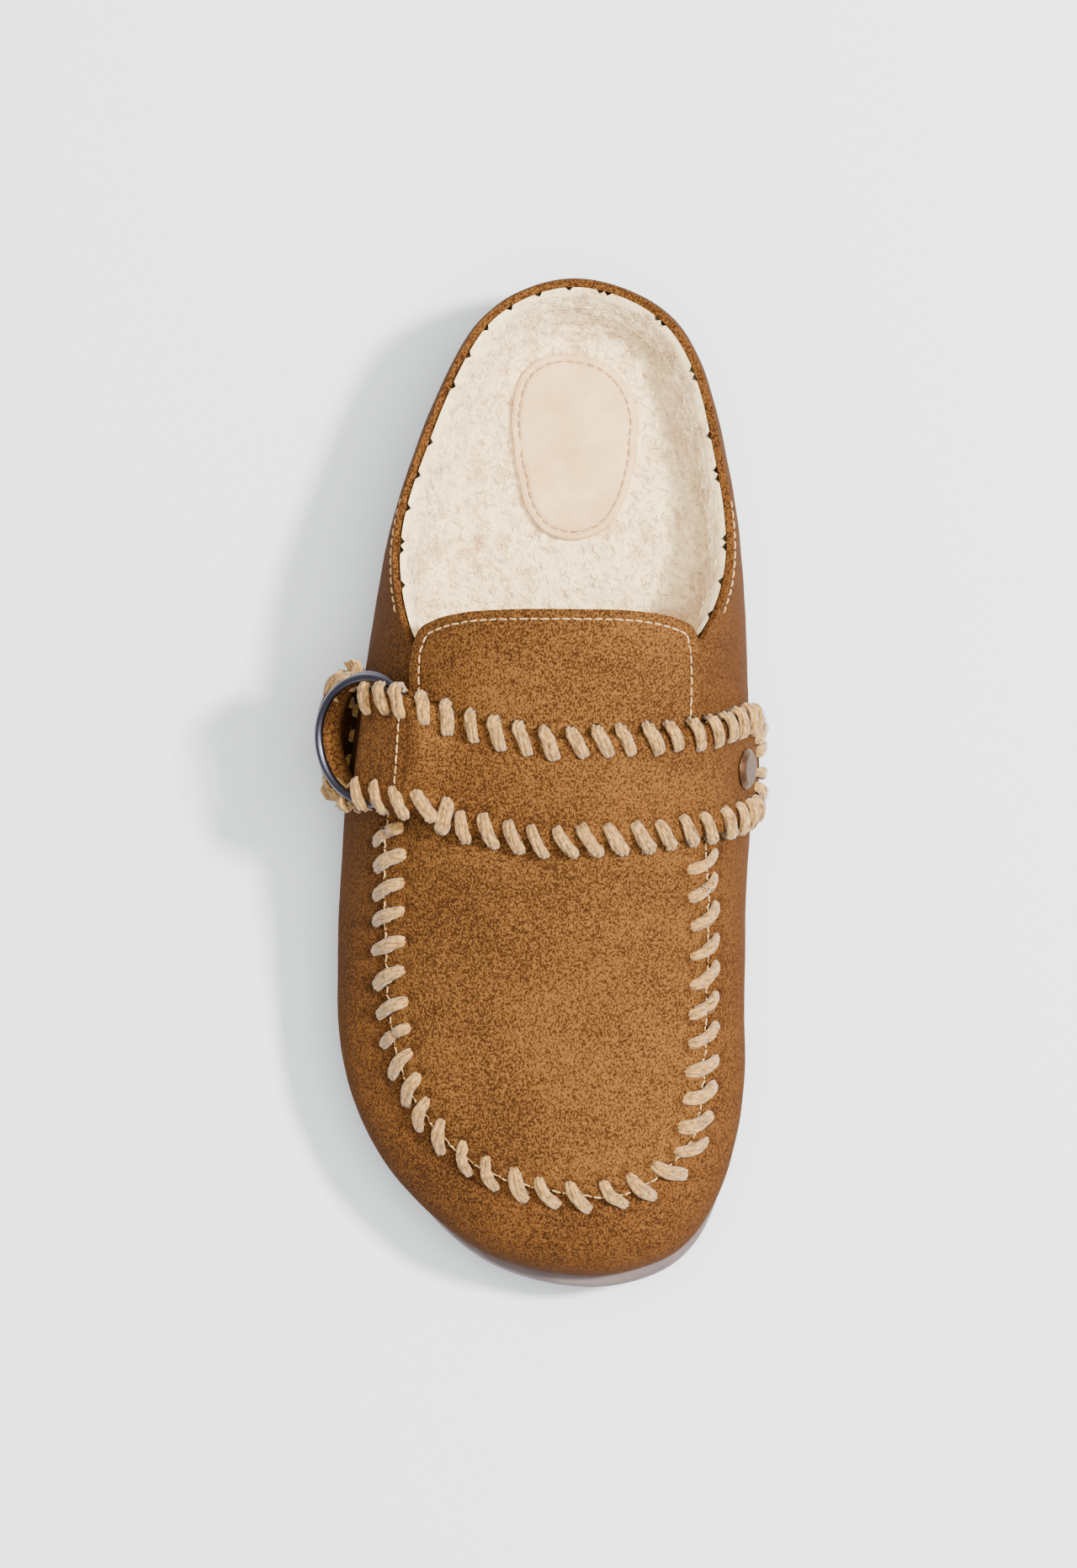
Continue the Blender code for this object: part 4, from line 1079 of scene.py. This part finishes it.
class Upper:
    """Hollow suede shell from the feather edge to the collar."""

    def __init__(self, frame: Frame, plan: SewingPlan):
        self.frame = frame
        self.plan = plan

    def build(self) -> bpy.types.Mesh:
        """Build the shell."""
        shape = self.frame.shape(Node.UPPER)
        inner = set(skins(shape, math.radians(50.0))[1])
        rim = {vert for vert in shape.verts
               if any(face in inner for face in vert.link_faces)
               and any(face not in inner for face in vert.link_faces)}
        kept = {face for vert in rim for face in vert.link_faces}
        bmesh.ops.delete(shape, geom=[face for face in inner if face not in kept], context="FACES")
        mesh = refined("upper", shape, 3, 50.0, 0.6)
        places, normals = vertex_arrays(mesh)
        distance = np.array([self.plan.apron_edge.nearest(point)[0] for point in places])
        middle = middle_gaps(places)
        sewn = fade(-places[:, 1], 0.000, 0.012)
        beside = np.exp(-((distance - 0.0012) / 0.0030) ** 2) * sewn
        puff = fade(middle, 0.0015, 0.0040)
        offset = -0.0006 * beside + 0.00055 * np.exp(-((distance - 0.0040) / 0.0028) ** 2) * puff * sewn
        pull, dark = self.plan.dent(places)
        outer = normals[:, 2] > -0.4
        offset -= pull * outer
        collar = fade(np.array([self.plan.collar.nearest(point)[0] for point in places]), 0.0030, 0.0120)
        offset += collar * (0.0005 * soft_noise(places, 0.032, 5.0) + 0.00018 * soft_noise(places, 0.009, 2.0))
        offset -= 0.0022 * fade(distance, 0.0030, 0.0080) * self.under_apron(places) * outer
        set_places(mesh, places + normals * offset[:, None])
        # Painted shade at the stitch holes and lines, and on the upper just beside the apron's sewn edge
        set_attribute(mesh, "shade", dark + 0.55 * (1.0 - fade(distance, 0.0002, 0.0022)) * sewn)
        # Painted shade: how far each face turns away from up, for the suede's darker sides
        set_attribute(mesh, "turn", 1.0 - np.clip(normals[:, 2], 0.0, 1.0))
        piece("upper", mesh, UPPER_SUEDE.material(), "upper_suede", Node.UPPER)
        return mesh

    def under_apron(self, places: np.ndarray) -> np.ndarray:
        """1 for each place that the apron covers, 0 for the others."""
        ground = Ground(self.frame.mesh(Node.APRON))
        up = Vector((0.0, 0.0, 1.0))
        return np.array([ground.tree.ray_cast(Vector(point) - up * 0.002, up, 0.02)[0] is not None
                         for point in places], float)


class Straps:
    """Strap over the instep and the side strap through the rings."""

    def __init__(self, frame: Frame, plan: SewingPlan):
        self.frame = frame
        self.plan = plan

    def build(self) -> list[bpy.types.Mesh]:
        """Build both straps."""
        material = STRAP_SUEDE.material()
        meshes = []
        for node, edge in ((Node.STRAP, self.plan.strap_edge), (Node.SIDE_STRAP, self.plan.side_edge)):
            mesh = refined(node.value, self.frame.shape(node), 3 if node is Node.STRAP else 2, 50.0, 0.7)
            places, normals = vertex_arrays(mesh)
            distance = np.array([edge.nearest(point)[0] for point in places])
            pull, dark = self.plan.dent(places)
            offset = 0.00025 * soft_noise(places, 0.014, 4.0) - pull
            offset -= 0.00045 * (1.0 - fade(distance, 0.0, 0.003)) * (normals[:, 2] > 0.2)
            if node is Node.STRAP:
                step = np.interp(places[:, 1], *np.array(CROSS_STITCHING[::-1]).T[::-1] * MILLIMETRE) + 0.0012
                offset += 0.0008 * (1.0 - fade(places[:, 0] - step, -0.0004, 0.0003)) * (normals[:, 2] > 0.2)
                # Painted shadow: a thin dark line at the foot of the step where the folded end stops
                dark += 0.5 * np.exp(-((places[:, 0] - step - 0.0005) / 0.0005) ** 2) * (normals[:, 2] > 0.2)
            set_places(mesh, places + normals * offset[:, None])
            # Painted shade at the stitch holes and lines, and a little darker along the edges
            set_attribute(mesh, "shade", dark + 0.25 * (1.0 - fade(distance, 0.0, 0.0012)))
            # Painted shade: how far each face turns away from up, for the suede's darker sides
            set_attribute(mesh, "turn", 1.0 - np.clip(normals[:, 2], 0.0, 1.0))
            piece(node.value.replace("_", " "), mesh, material, "strap_suede", node)
            meshes.append(mesh)
        return meshes


class Footbed:
    """Fleece footbed, the fleece lining of the wall round the heel, and its loose curls."""

    lining_thickness = 0.0042
    curl_count = 3700
    collar_reach = 0.0045

    def __init__(self, frame: Frame, plan: SewingPlan):
        self.frame = frame
        self.plan = plan

    def pile(self, mesh: bpy.types.Mesh, height: float, free: np.ndarray) -> None:
        """Raise the curls of the pile, each by its share of being free."""
        places, normals = vertex_arrays(mesh)
        swirl = np.array([tuple(noise.noise_vector(Vector(point) / 0.0026)) for point in places])
        bent = places + swirl * 0.0012
        curls = 1.0 - np.abs(soft_noise(bent, 0.0026, 1.0)) * 1.7
        fine = 1.0 - np.abs(soft_noise(bent, 0.0012, 7.0)) * 1.7
        broad = soft_noise(places, 0.011, 2.0)
        tuft = 1.0 - np.abs(soft_noise(bent, 0.0062, 4.0)) * 1.9
        depth = np.maximum(0.34 * curls + 0.22 * fine + 0.26 * broad + 0.36 * tuft, 0.0)
        set_places(mesh, places + normals * (height * depth * free)[:, None])
        # Painted shade: the pile attribute, low in the hollows between curls, darkens the fleece there
        set_attribute(mesh, "pile", 0.15 + depth * 0.95)

    def bed(self) -> bpy.types.Mesh:
        """Build the footbed."""
        shape = self.frame.shape(Node.INSOLE)
        bmesh.ops.bisect_plane(shape, geom=shape.verts[:] + shape.edges[:] + shape.faces[:], dist=1e-6,
                               plane_co=(0.0, -0.045, 0.0), plane_no=(0.0, -1.0, 0.0), clear_outer=True)
        under = [face for face in shape.faces if face.normal.z < -0.7]
        bmesh.ops.delete(shape, geom=under, context="FACES")
        long_edges = [edge for edge in shape.edges if edge.calc_length() > 0.012]
        bmesh.ops.subdivide_edges(shape, edges=long_edges, cuts=5, use_grid_fill=True)
        return refined("footbed", shape, 3, 70.0, 0.3)

    def rim_gaps(self, mesh: bpy.types.Mesh) -> np.ndarray:
        """Distance of each vertex of the lining from its border at the collar."""
        places, _ = vertex_arrays(mesh)
        uses = Counter(key for face in mesh.polygons for key in face.edge_keys)
        sides = [places[list(key)] for key, count in uses.items() if count == 1]
        sides = [ends for ends in sides if self.plan.collar.nearest(ends[0])[0] < self.collar_reach]
        points = [ends[0] + (ends[1] - ends[0]) * share for ends in sides for share in (0.0, 0.25, 0.5, 0.75)]
        tree = KDTree(len(points))
        for index, point in enumerate(points):
            tree.insert(point, index)
        tree.balance()
        return np.array([tree.find(point)[2] for point in places])

    def lining(self) -> tuple[bpy.types.Mesh, np.ndarray]:
        """Build the lining of the wall, and tell how far each place is from its rim."""
        shape = self.frame.shape(Node.UPPER)
        inner = set(skins(shape, math.radians(50.0))[1])
        bmesh.ops.delete(shape, geom=[face for face in shape.faces if face not in inner], context="FACES")
        bmesh.ops.bisect_plane(shape, geom=shape.verts[:] + shape.edges[:] + shape.faces[:], dist=1e-6,
                               plane_co=(0.0, -0.020, 0.0), plane_no=(0.0, -1.0, 0.0), clear_outer=True)
        mesh = refined("lining", shape, 3, 70.0, 0.3)
        places, normals = vertex_arrays(mesh)
        distance = self.rim_gaps(mesh)
        swell = np.sqrt(np.clip(distance / 0.0060, 0.0, 1.0))
        rise = 0.0011 * (1.0 - fade(distance, 0.0, 0.0030))
        rooted = 1.0 - fade(distance, 0.0, 0.0009)
        places = places + normals * (0.0006 + self.lining_thickness * swell - 0.0005 * rooted)[:, None]
        places[:, 2] += rise
        set_places(mesh, places)
        return mesh, distance

    def curls(self, mesh: bpy.types.Mesh, seed: int) -> Bundle:
        """Scatter curly locks over a finished pile."""
        chance = np.random.default_rng(seed)
        places, normals = vertex_arrays(mesh)
        faces = np.array([tuple(face.vertices) for face in mesh.polygons if len(face.vertices) == 4])
        corners = places[faces]
        middle = corners.mean(axis=1)
        areas = np.linalg.norm(np.cross(corners[:, 2] - corners[:, 0], corners[:, 3] - corners[:, 1]), axis=1)
        shown = (middle[:, 1] > 0.022) & (normals[faces[:, 0], 2] > -0.35)
        patch = np.hypot((middle[:, 0] - 0.0096) / 0.0150, (middle[:, 1] - 0.0862) / 0.0235) < 1.0
        rim = np.array([self.plan.collar.nearest(point)[0] for point in middle])
        areas = areas * shown * ~patch * (rim > 0.0048)
        picks = chance.choice(len(faces), self.curl_count, p=areas / areas.sum())
        mixes = chance.dirichlet((1.0, 1.0, 1.0, 1.0), self.curl_count)
        bundle = Bundle()
        for pick, mix in zip(picks, mixes):
            root = (corners[pick] * mix[:, None]).sum(axis=0)
            up = normals[faces[pick][0]]
            side = np.cross(up, (0.3, 1.0, 0.2))
            side /= np.linalg.norm(side)
            ahead = np.cross(side, up)
            turn = noise.noise(Vector(root) / 0.0045) * 9.0 + chance.normal(0.0, 0.5)
            curl = chance.uniform(2.0, 4.6) * (1.0 if chance.random() < 0.5 else -1.0)
            length = chance.uniform(0.0022, 0.0045)
            radius = chance.uniform(0.00011, 0.00020)
            line = [root - up * 0.0003]
            steps = 6
            for k in range(1, steps):
                t = k / (steps - 1)
                heading = turn + curl * t
                step = (side * math.cos(heading) + ahead * math.sin(heading)) * length / (steps - 1)
                line.append(line[-1] + step + up * (0.00034 * (1.0 - 1.25 * t)))
            bundle.tube(np.array(line), radius * np.array([1.1, 1.0, 1.0, 0.85, 0.6, 0.15]), 3,
                        chance.uniform(0.0, 40.0))
        return bundle

    def build(self) -> list[bpy.types.Mesh]:
        """Build the fleece."""
        material = FleeceFinish().material()
        bed = self.bed()
        gaps = np.array([self.plan.collar.nearest(vert.co)[0] for vert in bed.vertices])
        self.pile(bed, 0.0019, fade(gaps, 0.0022, 0.0050))
        piece("fleece footbed", bed, material, "fleece", Node.INSOLE)
        lining, gaps = self.lining()
        self.pile(lining, 0.0015, fade(gaps, 0.0004, 0.0032))
        piece("fleece lining", lining, material, "fleece")
        for index, mesh in enumerate((bed, bed, lining)):
            bundle = self.curls(mesh, 20 + index)
            name = "fleece curls " + str(index + 1)
            curls = bundle.mesh(name)
            chance = np.random.default_rng(index)
            set_attribute(curls, "pile", 0.62 + 0.38 * chance.random(len(curls.vertices)))
            piece(name, curls, material, "fleece")
        return [bed, lining]


class HeelPatch:
    """Smooth pad sewn on the footbed."""

    rise = 0.0016
    skirt = 0.0022
    hem = 0.0020

    def __init__(self, frame: Frame):
        self.frame = frame
        outline = np.array(PATCH_OUTLINE) * MILLIMETRE
        self.middle = outline.mean(axis=0)
        arms = outline - self.middle
        turns = np.arctan2(arms[:, 1], arms[:, 0])
        order = np.argsort(turns)
        steps = np.linspace(-math.pi, math.pi, 360, endpoint=False)
        radii = np.interp(steps, turns[order], np.linalg.norm(arms, axis=1)[order], period=math.tau)
        soften = np.exp(-(np.arange(-20, 21) / 8.0) ** 2)
        wrapped = np.concatenate([radii[-20:], radii, radii[:20]])
        self.steps = steps
        self.radii = np.convolve(wrapped, soften / soften.sum(), "valid")

    def reach(self, turn: float) -> float:
        """Distance from the pad's middle to its edge in a direction."""
        return float(np.interp(turn, self.steps, self.radii, period=math.tau))

    def build(self, machine: MachineStitching) -> None:
        """Build the pad and sew round it."""
        top = max(vert.co.z for vert in self.frame.mesh(Node.HEEL_PATCH).vertices)
        shape = bmesh.new()
        bmesh.ops.create_grid(shape, x_segments=56, y_segments=56, size=1.0)
        for vert in shape.verts:
            x, y = vert.co.x, vert.co.y
            x, y = x * math.sqrt(1.0 - 0.5 * y * y), y * math.sqrt(1.0 - 0.5 * x * x)
            turn = math.atan2(y, x)
            share = math.hypot(x, y)
            edge = (1.0 - share) * self.reach(turn)
            height = top + self.rise - 0.0008 * (1.0 - fade(edge, 0.0, 0.0022))
            height -= 0.00045 * math.exp(-((edge - self.hem) / 0.0006) ** 2)
            out = share * self.reach(turn)
            vert.co = (self.middle[0] + out * math.cos(turn), self.middle[1] + out * math.sin(turn), height)
        rim = [edge for edge in shape.edges if edge.is_boundary]
        skirt = bmesh.ops.extrude_edge_only(shape, edges=rim)["geom"]
        bmesh.ops.translate(shape, verts=[item for item in skirt if isinstance(item, bmesh.types.BMVert)],
                            vec=(0.0, 0.0, -self.skirt))
        bmesh.ops.recalc_face_normals(shape, faces=shape.faces)
        mesh = bpy.data.meshes.new("heel patch")
        shape.to_mesh(mesh)
        shape.free()
        mesh.shade_smooth()
        places, _ = vertex_arrays(mesh)
        places[:, 2] += 0.0003 * soft_noise(places, 0.010, 6.0)
        set_places(mesh, places)
        edge = Trail([Vector((*self.spot(turn, 0.0), top)) for turn in self.steps], True)
        distance = np.array([edge.nearest((point[0], point[1], top))[0] for point in places])
        # Painted shade in the sunken groove of the stitch line and along the pad's edge
        set_attribute(mesh, "shade", 0.5 * np.exp(-((distance - self.hem) / 0.0005) ** 2)
                      + 0.4 * (1.0 - fade(distance, 0.0, 0.0008)))
        piece("heel patch", mesh, PatchFinish().material(), "patch_suede", Node.HEEL_PATCH)
        line = Trail([Vector((*self.spot(turn, self.hem), top + self.rise)) for turn in self.steps], True)
        bundle = Bundle()
        machine.add_line(bundle, line, Ground(mesh), 70)
        piece("patch stitches", bundle.mesh("patch stitches"), TAN_THREAD.material(), "patch_suede")

    def spot(self, turn: float, inside: float) -> tuple[float, float]:
        """Plan place at a distance inside the pad's edge."""
        out = self.reach(turn) - inside
        return self.middle[0] + out * math.cos(turn), self.middle[1] + out * math.sin(turn)


class Metalwork:
    """Rings and rivet."""

    def __init__(self, frame: Frame):
        self.frame = frame

    def build(self) -> None:
        """Build the metal pieces."""
        gunmetal = GUNMETAL.material()
        for node in (Node.RING_INNER, Node.RING_OUTER):
            mesh = refined(node.value, self.frame.shape(node), 2, 80.0, 0.0)
            piece(node.value.replace("_", " "), mesh, gunmetal, "ring_metal", node)
        mesh = refined("rivet", self.frame.shape(Node.RIVET), 3, 40.0, 0.5)
        piece("rivet", mesh, BRONZE.material(), "rivet_metal", Node.RIVET)


class Sole:
    """Moulded rubber sole."""

    def __init__(self, frame: Frame):
        self.frame = frame

    def build(self) -> None:
        """Build the sole."""
        mesh = refined("sole", self.frame.shape(Node.OUTSOLE), 2, 28.0, 0.85)
        piece("sole", mesh, RubberFinish().material(), "sole_rubber", Node.OUTSOLE)


# Whipstitches of the apron: place across and along in mm, and the way from inside to outside in degrees
APRON_STITCHES = [
    (-37.8, -12.8, -150), (-37.3, -19.5, -153), (-37.8, -26.7, -153), (-37.8, -33.6, -156),
    (-37.9, -41.2, -160), (-37.8, -49.2, -148), (-37.1, -57.0, -153), (-36.3, -64.1, -145),
    (-35.0, -71.4, -127), (-32.2, -77.9, -112), (-29.4, -84.2, -105), (-24.7, -89.9, -92),
    (-18.4, -95.4, -80), (-12.1, -99.2, -74), (-4.7, -102.0, -70), (2.5, -104.0, -55),
    (10.6, -105.0, -53), (19.4, -104.4, -45), (26.5, -102.6, -41), (33.7, -98.5, -19),
    (39.4, -92.6, 19), (40.5, -86.2, 22), (41.6, -78.9, 24), (42.2, -71.9, 24),
    (42.6, -64.0, 37), (42.6, -56.4, 38), (42.9, -48.8, 41), (42.9, -41.6, 40),
    (42.9, -33.7, 44), (42.4, -26.4, 40), (42.3, -19.8, 35),
]


# Outline of the heel pad, across and along in mm
PATCH_OUTLINE = [
    (1.5, 109.7), (13.3, 109.7), (18.0, 107.6), (22.4, 103.3), (24.6, 98.4), (25.1, 87.6), (23.6, 77.8),
    (21.2, 70.9), (18.2, 66.0), (13.3, 63.1), (7.4, 62.6), (1.5, 64.6), (-2.4, 70.0), (-4.4, 77.8),
    (-5.9, 87.6), (-5.9, 98.4), (-3.8, 105.9),
]


class Studio:
    """Pale floor, soft light from the upper right, and the camera over the shoe."""

    floor_colour = paint(222, 226, 228)
    key_angle = 50.0

    def build(self) -> None:
        """Build the floor, the lights and the camera."""
        shape = bmesh.new()
        bmesh.ops.create_grid(shape, x_segments=1, y_segments=1, size=3.0)
        mesh = bpy.data.meshes.new("floor")
        shape.to_mesh(mesh)
        shape.free()
        tree = ShaderTree("pale floor")
        tree.fix(Base_Color=self.floor_colour, Roughness=0.75, Specular_IOR_Level=0.2)
        mesh.materials.append(tree.material)
        floor = bpy.data.objects.new("floor", mesh)
        bpy.context.scene.collection.objects.link(floor)
        floor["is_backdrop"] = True
        self.area("key light", Vector((1.25, 0.30, 1.85)), 0.30, 140.0, (1.0, 0.985, 0.955))
        self.area("overhead light", Vector((0.2, 0.1, 2.4)), 2.0, 100.0, (1.0, 1.0, 1.0))
        world = bpy.data.worlds.new("room")
        world.use_nodes = True
        world.node_tree.nodes["Background"].inputs["Color"].default_value = (0.98, 0.99, 1.0, 1.0)
        world.node_tree.nodes["Background"].inputs["Strength"].default_value = 0.64
        bpy.context.scene.world = world
        self.camera()

    def area(self, name: str, place: Vector, size: float, power: float, colour: tuple) -> None:
        """Hang a soft light that points at the shoe."""
        light = bpy.data.lights.new(name, "AREA")
        light.shape = "DISK"
        light.size = size
        light.energy = power
        light.color = colour
        item = bpy.data.objects.new(name, light)
        item.location = place
        item.rotation_euler = (Vector((0.0, 0.0, 0.02)) - place).to_track_quat("-Z", "Y").to_euler()
        bpy.context.scene.collection.objects.link(item)

    def camera(self) -> None:
        """Place the camera straight over the shoe, the heel at the top of the picture."""
        lens = bpy.data.cameras.new("camera")
        lens.sensor_fit = "VERTICAL"
        lens.sensor_height = 36.0
        lens.sensor_width = 36.0
        distance = 1.70
        tall = 0.400
        lens.lens = 36.0 * distance / tall
        item = bpy.data.objects.new("camera", lens)
        centre = Vector((0.0003, 0.0, 0.035))
        item.location = centre + Vector((0.030, -0.016, distance))
        back = (item.location - centre).normalized()
        right = Vector((0.0, 1.0, 0.0)).cross(back).normalized()
        up = back.cross(right)
        item.rotation_euler = Matrix((right, up, back)).transposed().to_euler()
        bpy.context.scene.collection.objects.link(item)
        bpy.context.scene.camera = item


def main() -> None:
    """Build the shoe and its studio."""
    logging.basicConfig(level=logging.INFO, format="%(message)s")
    frame = Frame()
    plan = SewingPlan(frame)
    apron = Apron(frame, plan).build()
    upper = Upper(frame, plan).build()
    straps = Straps(frame, plan).build()
    Footbed(frame, plan).build()
    HeelPatch(frame).build(plan.machine)
    Metalwork(frame).build()
    Sole(frame).build()
    plan.finish(Ground(apron, upper))
    plan.sew(Ground(apron, upper, *straps))
    Studio().build()


if __name__ == "__main__":
    main()
